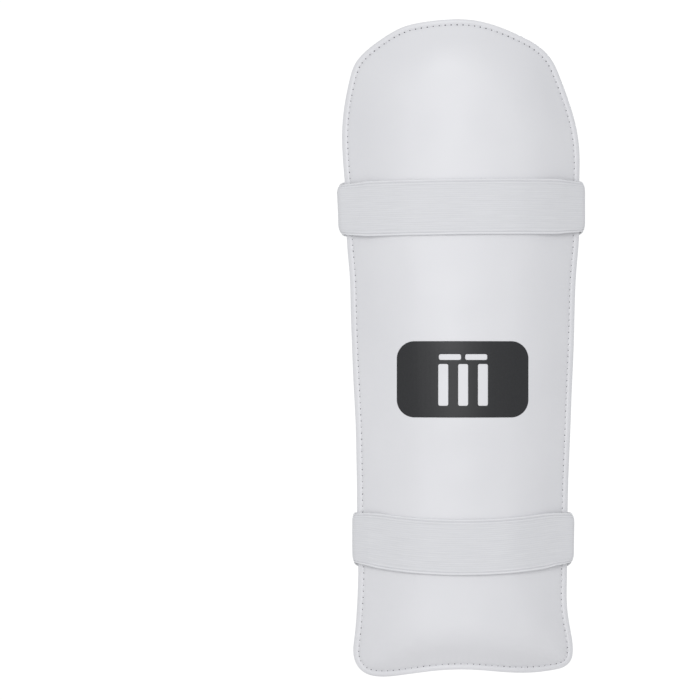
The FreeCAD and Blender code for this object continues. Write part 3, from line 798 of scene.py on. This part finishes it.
def tube(points, radius, sides=7, taper=None):
    pts = np.asarray(points, float)
    n = len(pts)
    t = np.gradient(pts, axis=0)
    t /= np.linalg.norm(t, axis=1)[:, None]
    ref = np.array([0.0, 1.0, 0.0])
    u = np.cross(t, ref)
    u /= np.linalg.norm(u, axis=1)[:, None]
    v = np.cross(t, u)
    ang = np.linspace(0, 2 * np.pi, sides, endpoint=False)
    rad = np.full(n, radius) if taper is None else radius * np.asarray(taper)
    vs = (pts[:, None] + rad[:, None, None] * (np.cos(ang)[None, :, None] * u[:, None]
                                               + np.sin(ang)[None, :, None] * v[:, None]))
    fs = []
    for i in range(n - 1):
        for k in range(sides):
            q = (k + 1) % sides
            fs.append((i * sides + k, i * sides + q, (i + 1) * sides + q, (i + 1) * sides + k))
    fs.append(tuple(range(sides - 1, -1, -1)))
    fs.append(tuple((n - 1) * sides + k for k in range(sides)))
    return vs.reshape(-1, 3), fs


def join_tubes(name, tubes, mat):
    vs, fs, base = [], [], 0
    for v, f in tubes:
        vs.append(v)
        fs += [tuple(base + i for i in q) for q in f]
        base += len(v)
    ob = mesh_object(name, np.vstack(vs) * MM, fs)
    outward(ob)
    ob.data.materials.append(mat)
    return ob


seam_xy = SEAM_C + np.stack([nrm[:, 0], nrm[:, 1]], 1) * INSET
face_seam_y = Y[near.index(3.8) * N:(near.index(3.8) + 1) * N]
threads, holes = [], []
K = 6


def skin_at(x, z, d, ph):
    """Depth of the face skin close to the seam; ph is stitches from a hole."""
    h_ = 0.5 + 0.5 * math.cos(2 * math.pi * ph)
    y = float(face_y(np.array([x]), np.array([z]), np.array([d]))[0])
    y += 0.38 * math.exp(-((d - INSET) / 0.95) ** 2) + 0.32 * math.exp(-((d - INSET) / 0.55) ** 2) * h_ ** 2
    y -= 0.30 * math.exp(-((d - 2.0) / 1.0) ** 2)
    y += 0.10 * h_ * math.exp(-((d - 5.5) / 2.4) ** 2)
    return y


for sidx in range(STITCHES):
    idx = [(sidx * K + k) % N for k in range(K + 1)]
    base = np.stack([seam_xy[idx, 0], face_seam_y[idx], seam_xy[idx, 1]], 1)
    way = np.linspace(0, 1, K + 1)
    lift = 0.26 * np.sin(np.pi * way) ** 0.7 - 0.55 * (np.abs(2 * way - 1) ** 5)
    jitter = 0.05 * math.sin(sidx * 12.9898) + 0.03 * math.sin(sidx * 4.1)
    side = nrm[idx] * jitter
    pts = base.copy()
    pts[:, 1] -= lift
    pts[:, 0] += side[:, 0]
    pts[:, 2] += side[:, 1]
    ends = 0.62
    pts[0] += (pts[1] - pts[0]) * ends
    pts[-1] += (pts[-2] - pts[-1]) * ends
    threads.append(tube(resample(pts, 9, False), 0.25, 7, [0.6, 0.85, 1, 1, 1, 1, 1, 0.85, 0.6]))
    # needle hole: a small pit round the point where the thread dives, coloured dark as painted shade inside the hole
    i0 = (sidx * K) % N
    tx = seam_xy[(i0 + 1) % N] - seam_xy[(i0 - 1) % N]
    step_mm = np.linalg.norm(tx) / 2.0
    tx /= np.linalg.norm(tx)
    ring = np.linspace(0, 2 * np.pi, 12, endpoint=False)
    pit_r = 0.38 + 0.10 * float(smooth((seam_xy[i0, 1] - 190.0) / 30.0)) + 0.05 * math.sin(sidx * 7.7)
    pts3 = []
    for rad, sink in ((1.0, -0.045), (0.6, -0.075), (0.0, -0.03)):
        for a_ in (ring if rad else [0.0]):
            du_, dv_ = math.cos(a_) * pit_r * rad, math.sin(a_) * 0.84 * pit_r * rad
            px = seam_xy[i0, 0] + tx[0] * du_ + nrm[i0, 0] * dv_
            pz = seam_xy[i0, 1] + tx[1] * du_ + nrm[i0, 1] * dv_
            py = skin_at(px, pz, INSET + dv_, du_ / (6.0 * step_mm))
            pts3.append((px, py + sink, pz))
    hv = np.array(pts3)
    back = hv.copy()
    back[:, 1] += 0.08
    m_ = len(hv)
    hf = [(k, (k + 1) % 12, 12 + (k + 1) % 12, 12 + k) for k in range(12)]
    hf += [(12 + k, 12 + (k + 1) % 12, 24) for k in range(12)]
    hf += [(m_ + k, m_ + 12 + k, m_ + 12 + (k + 1) % 12, m_ + (k + 1) % 12) for k in range(12)]
    hf += [(m_ + 12 + k, m_ + 24, m_ + 12 + (k + 1) % 12) for k in range(12)]
    hf += [((k + 1) % 12, k, m_ + k, m_ + (k + 1) % 12) for k in range(12)]
    holes.append((np.vstack([hv, back]), hf))
top_thread = join_tubes("face_seam_thread", threads, M_THREAD)
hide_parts("face_stitches")
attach(top_thread, "pad")
# the pits carry the dark colour: painted shade of the needle holes
hole_pits_painted_shade = join_tubes("needle_hole_shade_pits", holes, M_HOLE_SHADE)
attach(hole_pits_painted_shade, "pad")

liner_seam_y = yt[near_t.index(3.8) * NT:(near_t.index(3.8) + 1) * NT]
seam_t = periodic_spline(OUTLINE, NT) + nrt * INSET
bobbin = []
for sidx in range(STITCHES):
    idx = [(sidx * 5 + k) % NT for k in range(6)]
    pts = np.stack([seam_t[idx, 0], liner_seam_y[idx], seam_t[idx, 1]], 1)
    way = np.linspace(0, 1, 6)
    pts[:, 1] += 0.22 * np.sin(np.pi * way) ** 0.6 - 0.35 * (np.abs(2 * way - 1) ** 6)
    bobbin.append(tube(resample(pts, 8, False), 0.25, 6))
bob = join_tubes("liner_seam_thread", bobbin, M_THREAD)
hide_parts("liner_stitches")
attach(bob, "pad")

# -------------------------------------------------------------- elastic loops
WIDE = 38.0
THICK = 1.15


def lower_hull(x, y):
    """Hull on the -Y side of a profile y(x): what a tight band would touch."""
    keep = []
    for p in zip(x, y):
        while len(keep) >= 2 and ((keep[-1][0] - keep[-2][0]) * (p[1] - keep[-2][1])
                                  - (keep[-1][1] - keep[-2][1]) * (p[0] - keep[-2][0])) <= 0:
            keep.pop()
        keep.append(p)
    k = np.array(keep)
    return np.interp(x, k[:, 0], k[:, 1])


def edge_at(z, side, travel=(0.0, 0.0)):
    """The pad's edge at height z, at its widest over the travel of a loop."""
    zs = EDGE[:, 1]
    xs = EDGE[:, 0]
    m = (xs * side > 40)
    order = np.argsort(zs[m])
    zz = float(z) + np.linspace(travel[0], travel[1], 9)
    return side * np.max(side * np.interp(zz, zs[m][order], xs[m][order]))


GRIM = GY - 0.38 * np.exp(-((GD - 2.0) / 1.3) ** 2)


def selvedge(v):
    """Relief of the woven edge, in mm, against the distance to the nearer edge."""
    e = WIDE / 2.0 - np.abs(v)
    return (0.24 * np.exp(-((e - 0.7) / 0.5) ** 2) - 0.34 * np.exp(-((e - 1.75) / 0.36) ** 2)
            + 0.10 * np.exp(-((e - 2.7) / 0.5) ** 2) - 0.12 * np.exp(-((e - 3.7) / 0.3) ** 2))


def band_section():
    """Closed cross-section of the elastic: (v, n) across and through it."""
    e = WIDE / 2.0
    v = np.concatenate([[-e + 0.02, -e + 0.15, -e + 0.4], np.linspace(-e + 0.75, e - 0.75, 107),
                        [e - 0.4, e - 0.15, e - 0.02]])
    h = THICK / 2.0
    edge = np.clip((e - np.abs(v)) / 0.62, 0, 1)
    body = h * np.sqrt(np.clip(1 - (1 - edge) ** 2, 0, 1))
    rib = 0.011 * np.cos(2 * np.pi * v / 1.42) * smooth((e - np.abs(v) - 2.6) / 1.0)
    top = body + selvedge(v) + rib
    bottom = -body - 0.4 * selvedge(v) - rib
    return v, top, bottom


def strap(tag, middle, sag, lean, fold_l, fold_r, back_y, cut_l, cut_r):
    """Front run of a loop with its turns round the pad's edges: returns the
    band's cross-section and its middle surface as a vertex grid."""
    v, top_n, bot_n = band_section()
    nv = len(v)
    xs = np.linspace(-71.0, 71.0, 143)
    xs = xs * (min(abs(edge_at(middle, -1)), abs(edge_at(middle, 1))) - 4.5) / 71.0
    rows = []
    sag_shape = 1 - (xs / abs(xs[0])) ** 2
    for k in range(nv):
        zr = middle + v[k] - sag * (sag_shape - 0.45) + lean * xs
        # the pad's face under this thread of the band, pulled taut
        full = np.linspace(-82, 82, 329)
        zf = np.interp(full, xs, zr)
        prof = np.full(len(full), 40.0)
        for shift_ in np.linspace(TRAVEL[middle][0], TRAVEL[middle][1], 12):
            on = look(GD, full, zf + shift_) > 0.2
            prof = np.where(on, np.minimum(prof, look(GRIM, full, zf + shift_)), prof)
        inside = prof < 39.0
        hull = lower_hull(full[inside], prof[inside])
        yf = np.interp(xs, full[inside], hull) - 0.22 - THICK / 2.0
        yf -= 2.3 * smooth((np.abs(xs) - 46.0) / 26.0)
        yf -= (0.75 if v[k] < 0 else 0.15) * smooth(np.full(1, (abs(v[k]) - 13.5) / 5.5))[0]
        # round the two edges of the pad: the middle of the band stands off in
        # a loop and its two selvedges draw in, so each end is a rounded D
        q = abs(v[k]) / (WIDE / 2.0)
        keep = math.sqrt(max(0.0, 1 - (max(0.0, q - 0.52) / 0.48) ** 2))
        lx = abs(edge_at(zr[0], -1, TRAVEL[middle])) + 1.35 + (fold_l - 1.35) * keep
        rx = abs(edge_at(zr[-1], 1, TRAVEL[middle])) + 1.35 + (fold_r - 1.35) * keep
        tuck = math.copysign(3.1 * max(0.0, (q - 0.45) / 0.55) ** 1.7, v[k])
        turn = [(9.0, 0.0, 0.0), (5.4, 0.05, 0.0), (2.3, 0.75, 0.10), (0.55, 2.3, 0.42), (0.0, 4.4, 0.80),
                (0.5, 6.6, 0.95), (1.9, 8.7, 0.65)]
        left, right = [], []
        for n_, (in_, down_, draw) in enumerate(turn):
            level = smooth(np.full(1, n_ / 4.0))[0]
            left.append((-lx + in_, back_y - down_, (1 - level) * (middle + v[k]) + level * zr[0] - draw * tuck))
            right.append((rx - in_, back_y - down_, (1 - level) * (middle + v[k]) + level * zr[-1] - draw * tuck))
        near_l = 0.30 * smooth(np.clip(1 - (np.abs(xs - xs[0])) / 12.0, 0, 1))
        near_r = 0.30 * smooth(np.clip(1 - (np.abs(xs - xs[-1])) / 12.0, 0, 1))
        zt = zr - (near_l + near_r) * tuck
        path = left + [(x, y, z) for x, y, z in zip(xs, yf, zt)][3:-3] + right[::-1]
        rows.append(np.array(path))
    # smooth and even out every thread's path with the same parameter
    fine = []
    for path in rows:
        dense = catmull(path, 6)
        fine.append(resample(dense, 380, False))
    grid = np.array(fine)                            # nv, nu, 3
    return v, top_n, bot_n, grid


def catmull(p, k):
    p = np.asarray(p, float)
    q = np.vstack([2 * p[0] - p[1], p, 2 * p[-1] - p[-2]])
    t = np.linspace(0, 1, k, endpoint=False)[:, None]
    out = []
    for i in range(1, len(q) - 2):
        a, b, c, d = q[i - 1], q[i], q[i + 1], q[i + 2]
        out.append(0.5 * ((2 * b) + (c - a) * t + (2 * a - 5 * b + 4 * c - d) * t ** 2
                          + (3 * b - a - 3 * c + d) * t ** 3))
    out.append(p[-1:])
    return np.vstack(out)


def relax(grid, times=6, lam=0.5):
    g = grid.copy()
    for _ in range(times):
        s = g.copy()
        s[:, 1:-1] = (1 - lam) * g[:, 1:-1] + lam * 0.5 * (g[:, :-2] + g[:, 2:])
        g = s
    return g


def band_object(name, v, top_n, bot_n, grid, along_x=False, caps=(True, True)):
    """Closed band from centre-surface grid (nv, nu, 3) in mm."""
    nv, nu, _ = grid.shape
    du = np.gradient(grid, axis=1)
    dv = np.gradient(grid, axis=0)
    n = np.cross(du, dv)
    n /= np.linalg.norm(n, axis=2)[..., None]
    outer = grid + n * top_n[:, None, None]
    innr = grid + n * bot_n[:, None, None]
    verts = np.concatenate([outer.reshape(-1, 3), innr.reshape(-1, 3)]) * MM
    faces = []
    off = nv * nu
    for i in range(nv - 1):
        for j in range(nu - 1):
            a = i * nu + j
            faces.append((a, a + 1, a + nu + 1, a + nu))
            faces.append((off + a, off + a + nu, off + a + nu + 1, off + a + 1))
    for j in range(nu - 1):
        faces.append((j, off + j, off + j + 1, j + 1))
        a = (nv - 1) * nu + j
        faces.append((a, a + 1, off + a + 1, off + a))
    for i in range(nv - 1):
        if caps[0]:
            a = i * nu
            faces.append((a, a + nu, off + a + nu, off + a))
        if caps[1]:
            a = i * nu + nu - 1
            faces.append((a, off + a, off + a + nu, a + nu))
    ob = mesh_object(name, verts, faces)
    outward(ob)
    mid = grid[nv // 2]
    dist = mid[:, 0] + 400.0 if along_x else np.concatenate(
        [[0], np.cumsum(np.linalg.norm(np.diff(mid, axis=0), axis=1))])
    along = np.tile(np.tile(dist, nv), 2)
    across = np.tile(np.repeat(v, nu), 2)
    e = WIDE / 2.0 - np.abs(across)
    # painted highlight and shade of the woven edge for the colour: high on the ridges of its relief, low in its grooves
    edge = (np.exp(-((e - 0.75) / 0.6) ** 2) - 1.1 * np.exp(-((e - 1.8) / 0.38) ** 2)
            + 0.5 * np.exp(-((e - 2.7) / 0.5) ** 2) - 0.4 * np.exp(-((e - 3.7) / 0.35) ** 2))
    for key, val in (("along", along), ("across", across), ("selvedge", edge)):
        at = ob.data.attributes.new(key, "FLOAT", "POINT")
        at.data.foreach_set("value", val.astype(np.float32))
    ob.data.materials.append(M_ELASTIC)
    return ob


def build_strap(tag, joint_body, middle, sag, lean, fold_l, fold_r):
    lo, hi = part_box(tag + "_back")
    back_y = 0.5 * (lo.y + hi.y) / MM
    x0, x1 = lo.x / MM - 0.2, hi.x / MM + 0.2
    v, tn, bn, grid = strap(tag, middle, sag, lean, fold_l, fold_r, back_y, x0, x1)
    grid = relax(grid, 10)
    print("GAP", tag, least_gap(grid, v, bn, middle))
    front = band_object(tag + "_front_run", v, tn, bn, grid)
    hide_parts(tag + "_front")
    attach(front, joint_body)
    lx, rx = grid[:, 0, 0], grid[:, -1, 0]
    mid_x = 0.5 * (lx.mean() + rx.mean())
    # back run: two halves that meet in the middle, each running from its own
    # edge of the pad
    nu = 90
    halves = []
    w = np.linspace(0, 1, nu)
    cols_r = rx[:, None] + 0.0 - w[None] * (rx[:, None] - mid_x)
    cols_l = lx[:, None] + w[None] * (mid_x - lx[:, None])
    for name, cols in ((tag + "_back_run_right", cols_r), (tag + "_back_run_left", cols_l)):
        g = np.zeros((len(v), nu, 3))
        g[:, :, 0] = cols
        g[:, :, 1] = back_y
        g[:, :, 2] = middle + v[:, None]
        ob = band_object(name, v, tn, bn, g, True, (False, False))
        halves.append(ob)
    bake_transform(halves[0])
    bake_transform(halves[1])
    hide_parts(tag + "_back")
    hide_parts(tag + "_back")
    return front, halves, grid, back_y


def least_gap(grid, v, bot_n, middle):
    """Least gap in mm between a loop's inner side and the face as it slides."""
    worst = 9.0
    for s_ in np.linspace(TRAVEL[middle][0], TRAVEL[middle][1], 7):
        g = grid[:, 100:-100]
        f = look(GRIM, g[..., 0], g[..., 2] + s_)
        on = look(GD, g[..., 0], g[..., 2] + s_) > 0.3
        gap_ = f - (g[..., 1] - bot_n[:, None])
        if on.any():
            worst = min(worst, float(gap_[on].min()))
    return round(worst, 2)


u_front, u_halves, u_grid, u_back_y = build_strap("upper_strap", "upper_strap", 114.6, 0.0, 0.012, 5.0, 3.6)
l_front, l_halves, l_grid, l_back_y = build_strap("lower_strap", "lower_strap", -115.0, 4.6, 0.0, 2.9, 4.1)

# ------------------------------------------------------------- lap join thread
for tag, body in (("upper_strap", "upper_strap"), ("lower_strap", "lower_strap")):
    lo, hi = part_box(tag + "_seam")
    x0, x1 = lo.x / MM, hi.x / MM
    z0, z1 = lo.z / MM, hi.z / MM
    yb = (u_back_y if tag == "upper_strap" else l_back_y) + THICK / 2.0 + 0.05
    rows = []
    for r in range(3):
        xc = x0 + 1.0 + r * (x1 - x0 - 2.0) / 2.0
        zz = np.arange(z0, z1 - 2.0, 2.55)
        for k, z in enumerate(zz):
            sgn = 1 if k % 2 == 0 else -1
            p = np.array([(xc - sgn * 0.95, yb - 0.18, z), (xc - sgn * 0.45, yb + 0.16, z + 0.7),
                          (xc + sgn * 0.45, yb + 0.16, z + 1.8), (xc + sgn * 0.95, yb - 0.18, z + 2.5)])
            rows.append(tube(resample(p, 6, False), 0.24, 6))
    ob = join_tubes(tag + "_lap_thread", rows, M_THREAD)
    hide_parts(tag + "_seam")
    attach(ob, body)

# ----------------------------------------------------------------------- badge
lo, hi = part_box("front_badge")
BX0, BX1, BZ0, BZ1 = lo.x / MM, hi.x / MM, lo.z / MM, hi.z / MM


def rounded_box(px, pz, cx, cz, hx, hz, r):
    qx = np.abs(px - cx) - (hx - r)
    qz = np.abs(pz - cz) - (hz - r)
    return np.hypot(np.maximum(qx, 0), np.maximum(qz, 0)) + np.minimum(np.maximum(qx, qz), 0) - r


def badge_sdf(px, pz):
    """Distance inside the printed shape, negative on the ink."""
    cx, cz = 0.5 * (BX0 + BX1), 0.5 * (BZ0 + BZ1)
    body = rounded_box(px, pz, cx, cz, (BX1 - BX0) / 2, (BZ1 - BZ0) / 2, 12.0)
    cut = np.full(px.shape, 1e9)
    for s in (-13.5, 0.0, 13.5):
        cut = np.minimum(cut, rounded_box(px, pz, cx + s, cz - 3.75, 3.4, 14.25, 1.2))
    for s in (-8.95, 8.95):
        cut = np.minimum(cut, rounded_box(px, pz, cx + s, cz + 15.2, 7.55, 2.0, 1.2))
    return np.maximum(body, -cut)


def badge_mesh():
    step = 0.5
    ax = np.arange(BX0 - step, BX1 + step * 1.5, step)
    az = np.arange(BZ0 - step, BZ1 + step * 1.5, step)
    px, pz = np.meshgrid(ax, az, indexing="ij")
    sd = badge_sdf(px, pz)
    # snap points next to the printed edge on to it
    gxs, gzs = np.gradient(sd, step)
    norm = np.maximum(np.hypot(gxs, gzs), 1e-6)
    close = np.abs(sd) < 0.40
    px2 = np.where(close, px - sd * gxs / norm, px)
    pz2 = np.where(close, pz - sd * gzs / norm, pz)
    sd2 = badge_sdf(px2, pz2)
    ok = sd2 < 0.06
    nx, nz = px.shape
    y = look(GY, px2, pz2)
    index = -np.ones(px.shape, int)
    use = []
    quads = []
    for i in range(nx - 1):
        for j in range(nz - 1):
            c = [(i, j), (i + 1, j), (i + 1, j + 1), (i, j + 1)]
            good = [p for p in c if ok[p]]
            if len(good) >= 3:
                quads.append(good)
    for q in quads:
        for p in q:
            if index[p] < 0:
                index[p] = len(use)
                use.append(p)
    ui = tuple(np.array(use).T)
    topv = np.stack([px2[ui], y[ui] - 0.16, pz2[ui]], 1)
    botv = np.stack([px2[ui], y[ui] + 0.10, pz2[ui]], 1)
    faces = [tuple(index[p] for p in q) for q in quads]
    edges = {}
    for f in faces:
        for a, b in zip(f, f[1:] + f[:1]):
            edges[(a, b)] = edges.get((a, b), 0) + 1
    n = len(use)
    allf = list(faces) + [tuple(n + i for i in reversed(f)) for f in faces]
    for (a, b) in edges:
        if (b, a) not in edges:
            allf.append((b, a, n + a, n + b))
    ob = mesh_object("printed_badge", np.vstack([topv, botv]) * MM, allf)
    outward(ob)
    ob.data.materials.append(M_BADGE)
    return ob


badge = badge_mesh()
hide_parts("front_badge")
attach(badge, "pad")

# ----------------------------------------------------------------------- label
lab_lo, lab_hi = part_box("size_label")
tab_lo, tab_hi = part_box("size_label_tab")
joint = next(j for j in frame["joints"] if j["name"] == "label_flip")
HX, HY, HZ = (c / MM for c in joint["pos_m"])
ax = Vector(joint["axis"]).normalized()
tilt = math.radians(19.0)
LW, LL = 19.6, 27.5


def label_grid(l0, l1, nl, nw=25):
    """Points of the label from distance l0 to l1 below its hinge line."""
    out = np.zeros((nw, nl, 3))
    for i, w in enumerate(np.linspace(-0.5, 0.5, nw)):
        for j, l in enumerate(np.linspace(l0, l1, nl)):
            # level at the hinge, square at the lower end
            f = np.clip(l / LL, 0, 1)
            half_w = w * LW
            u = -math.sin(tilt) * l + half_w * (1 / math.cos(tilt)) * (1 - f) + half_w * math.cos(tilt) * f
            zz = -math.cos(tilt) * l - half_w * math.sin(tilt) * f
            # seen from the leg the lower end swings towards -X
            curl = 0.9 * math.sin(math.pi * np.clip(l / LL, 0, 1)) + 1.1 * f ** 3
            cross = 0.35 * (1 - (2 * w) ** 2) * f
            yy = 0.15 + 0.35 * curl + cross
            out[i, j] = (HX + u * ax.x, HY + u * ax.y + yy, HZ + zz)
    return out


def ply(name, grid, thick, mat):
    nw, nl, _ = grid.shape
    n = np.cross(np.gradient(grid, axis=0), np.gradient(grid, axis=1))
    n /= np.linalg.norm(n, axis=2)[..., None]
    n *= 1.0 if n[:, 0, 1].mean() > 0 else -1.0
    a = (grid + n * thick / 2).reshape(-1, 3)
    b = (grid - n * thick / 2).reshape(-1, 3)
    off = nw * nl
    faces = []
    for i in range(nw - 1):
        for j in range(nl - 1):
            q = i * nl + j
            faces.append((q, q + 1, q + nl + 1, q + nl))
            faces.append((off + q, off + q + nl, off + q + nl + 1, off + q + 1))
    for j in range(nl - 1):
        faces.append((j, off + j, off + j + 1, j + 1))
        q = (nw - 1) * nl + j
        faces.append((q, q + 1, off + q + 1, off + q))
    for i in range(nw - 1):
        q = i * nl
        faces.append((q, q + nl, off + q + nl, off + q))
        q = i * nl + nl - 1
        faces.append((q, off + q, off + q + nl, q + nl))
    ob = mesh_object(name, np.vstack([a, b]) * MM, faces)
    outward(ob)
    ob.data.materials.append(mat)
    return ob


PLY, FOLD = 0.14, 0.15
lab = label_grid(1.0, LL, 34)
lab[:, :, 1] += 0.07


def ribbon_grid():
    """The whole label: out of the seam, down to its fold and back again."""
    ls = np.concatenate([np.linspace(-4.6, -0.6, 6), np.linspace(-0.3, 2.7, 13), np.linspace(3.3, LL - FOLD, 28)])
    cols = [label_grid(l, l, 1)[:, 0] + np.array([0.0, 0.07, 0.0]) for l in ls]
    back = []
    for l, col in zip(ls, cols):
        f = float(np.clip(l / LL, 0, 1))
        apart = 0.16 + (2 * FOLD - 0.16) * float(smooth(np.array(f * LL / (LL - FOLD)))) + 0.15 * math.sin(math.pi * f)
        back.append(col - np.array([0.0, apart, 0.0]))
    turn = []
    for k in range(1, 6):
        th = k * math.pi / 6
        at = label_grid(LL - FOLD + FOLD * math.sin(th), LL - FOLD + FOLD * math.sin(th), 1)[:, 0]
        at[:, 1] = 0.5 * (cols[-1][:, 1] + back[-1][:, 1]) + 0.5 * (cols[-1][:, 1] - back[-1][:, 1]) * math.cos(th)
        turn.append(at)
    return np.stack(cols + turn + back[::-1], 1)


ribbon = ply("label_ribbon", ribbon_grid(), PLY, M_LABEL)
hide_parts("size_label", "size_label_tab")
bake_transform(ribbon)

# three rows of plain printed blocks that spell nothing


def label_point(w, l):
    """Point on the label at w mm off its middle line, l mm below its hinge."""
    fi = np.clip((w / LW + 0.5) * 24, 0, 23.999)
    fj = np.clip((l - 1.0) / (LL - 1.0) * 33, 0, 32.999)
    i0, j0 = int(fi), int(fj)
    fi, fj = fi - i0, fj - j0
    return ((1 - fi) * (1 - fj) * lab[i0, j0] + fi * (1 - fj) * lab[i0 + 1, j0]
            + (1 - fi) * fj * lab[i0, j0 + 1] + fi * fj * lab[i0 + 1, j0 + 1])


print_rows = [(-4.6, 2.05, 3.4, 0.8, [5], 3.3), (0.9, 1.25, 1.85, 0.5, [3, 7], 2.2),
              (4.9, 1.15, 1.7, 0.5, [4, 2, 5], 2.6)]
mark_v, mark_f, base = [], [], 0
for wc, hh, long_, gap_, words, start in print_rows:
    l0 = start
    for word in words:
        for k in range(word):
            g = np.array([[label_point(wc + w, l) + np.array([0, 0.105, 0]) for l in np.linspace(l0, l0 + long_, 5)]
                          for w in np.linspace(-hh, hh, 5)])
            under_g = g - np.array([0, 0.05, 0])
            mark_v += [g.reshape(-1, 3), under_g.reshape(-1, 3)]
            for i in range(4):
                for j in range(4):
                    q = base + i * 5 + j
                    mark_f.append((q, q + 1, q + 6, q + 5))
                    mark_f.append((25 + q, 30 + q, 31 + q, 26 + q))
            rim = [i for i in range(5)] + [9, 14, 19, 24] + [23, 22, 21, 20] + [15, 10, 5]
            for i, j in zip(rim, rim[1:] + rim[:1]):
                mark_f.append((base + i, base + 25 + i, base + 25 + j, base + j))
            base += 50
            l0 += long_ + gap_
        l0 += 1.5
ink = mesh_object("label_print", np.vstack(mark_v) * MM, mark_f)
outward(ink)
ink.data.materials.append(M_INK)
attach(ink, "label")

# ------------------------------------------------------- stage, lights, camera
base_z = CAD_BOX[0][2] - 0.0003
n_ring = 96
fv = [(0.95 * math.cos(a), 0.95 * math.sin(a), base_z) for a in np.linspace(0, 2 * np.pi, n_ring, endpoint=False)]
floor = mesh_object("floor", fv + [(x, y, base_z - 0.01) for x, y, _ in fv],
                    [tuple(range(n_ring)), tuple(range(2 * n_ring - 1, n_ring - 1, -1))]
                    + [((i + 1) % n_ring, i, n_ring + i, n_ring + (i + 1) % n_ring) for i in range(n_ring)], False)
fm, fnt, fb = new_mat("floor_white")
fb.inputs["Base Color"].default_value = (0.9, 0.9, 0.9, 1)
fb.inputs["Roughness"].default_value = 0.9
fb.inputs["Specular IOR Level"].default_value = 0.1
fb.inputs["Base Color"].default_value = (0.58, 0.58, 0.58, 1)
fb.inputs["Emission Color"].default_value = (1, 1, 1, 1)
fb.inputs["Emission Strength"].default_value = 0.20
glow = fnt.nodes.new("ShaderNodeEmission")
glow.inputs["Color"].default_value = (1, 1, 1, 1)
glow.inputs["Strength"].default_value = 1.05
flp = fnt.nodes.new("ShaderNodeLightPath")
fmix = fnt.nodes.new("ShaderNodeMixShader")
fnt.links.new(flp.outputs["Is Camera Ray"], fmix.inputs["Fac"])
fnt.links.new(fb.outputs[0], fmix.inputs[1])
fnt.links.new(glow.outputs[0], fmix.inputs[2])
fout = next(n for n in fnt.nodes if n.type == "OUTPUT_MATERIAL")
fnt.links.new(fmix.outputs[0], fout.inputs["Surface"])
floor.data.materials.append(fm)

world = bpy.data.worlds.new("studio")
bpy.context.scene.world = world
world.use_nodes = True
wn = world.node_tree
bg = wn.nodes["Background"]
bg.inputs["Color"].default_value = (0.965, 0.98, 1.0, 1)
bg.inputs["Strength"].default_value = 0.60
bg2 = wn.nodes.new("ShaderNodeBackground")
bg2.inputs["Color"].default_value = (1, 1, 1, 1)
bg2.inputs["Strength"].default_value = 1.05
lp = wn.nodes.new("ShaderNodeLightPath")
mixw = wn.nodes.new("ShaderNodeMixShader")
wn.links.new(lp.outputs["Is Camera Ray"], mixw.inputs["Fac"])
wn.links.new(bg.outputs[0], mixw.inputs[1])
wn.links.new(bg2.outputs[0], mixw.inputs[2])
wn.links.new(mixw.outputs[0], wn.nodes["World Output"].inputs["Surface"])


def area(name, loc, aim, size, power):
    data = bpy.data.lights.new(name, "AREA")
    data.shape = "RECTANGLE"
    data.size, data.size_y = size
    data.energy = power
    ob = bpy.data.objects.new(name, data)
    bpy.context.scene.collection.objects.link(ob)
    ob.location = loc
    ob.rotation_euler = (Vector(aim) - Vector(loc)).to_track_quat("-Z", "Y").to_euler()
    return ob


area("key", (-0.30, -2.0, 0.55), (0, 0, 0), (0.9, 1.3), 15.6)
area("back_key", (0.45, 1.9, 0.85), (0, 0, 0), (1.0, 1.2), 16.0)
area("back_fill", (0.0, 2.4, 0.1), (0, 0, 0), (2.6, 2.0), 9.0)

cam_data = bpy.data.cameras.new("camera")
cam = bpy.data.objects.new("camera", cam_data)
bpy.context.scene.collection.objects.link(cam)
cam_data.sensor_width = 36.0
cam_data.clip_start = 0.05
cam_data.clip_end = 20
DIST = 2.6
cam_data.lens = 36.0 * DIST / 0.483
cam.location = (-0.077, -DIST + 0.018, 0.0169)
cam.rotation_euler = (math.radians(90), 0, 0)
bpy.context.scene.camera = cam
bpy.context.scene.view_settings.view_transform = "Standard"
bpy.context.scene.view_settings.look = "None"
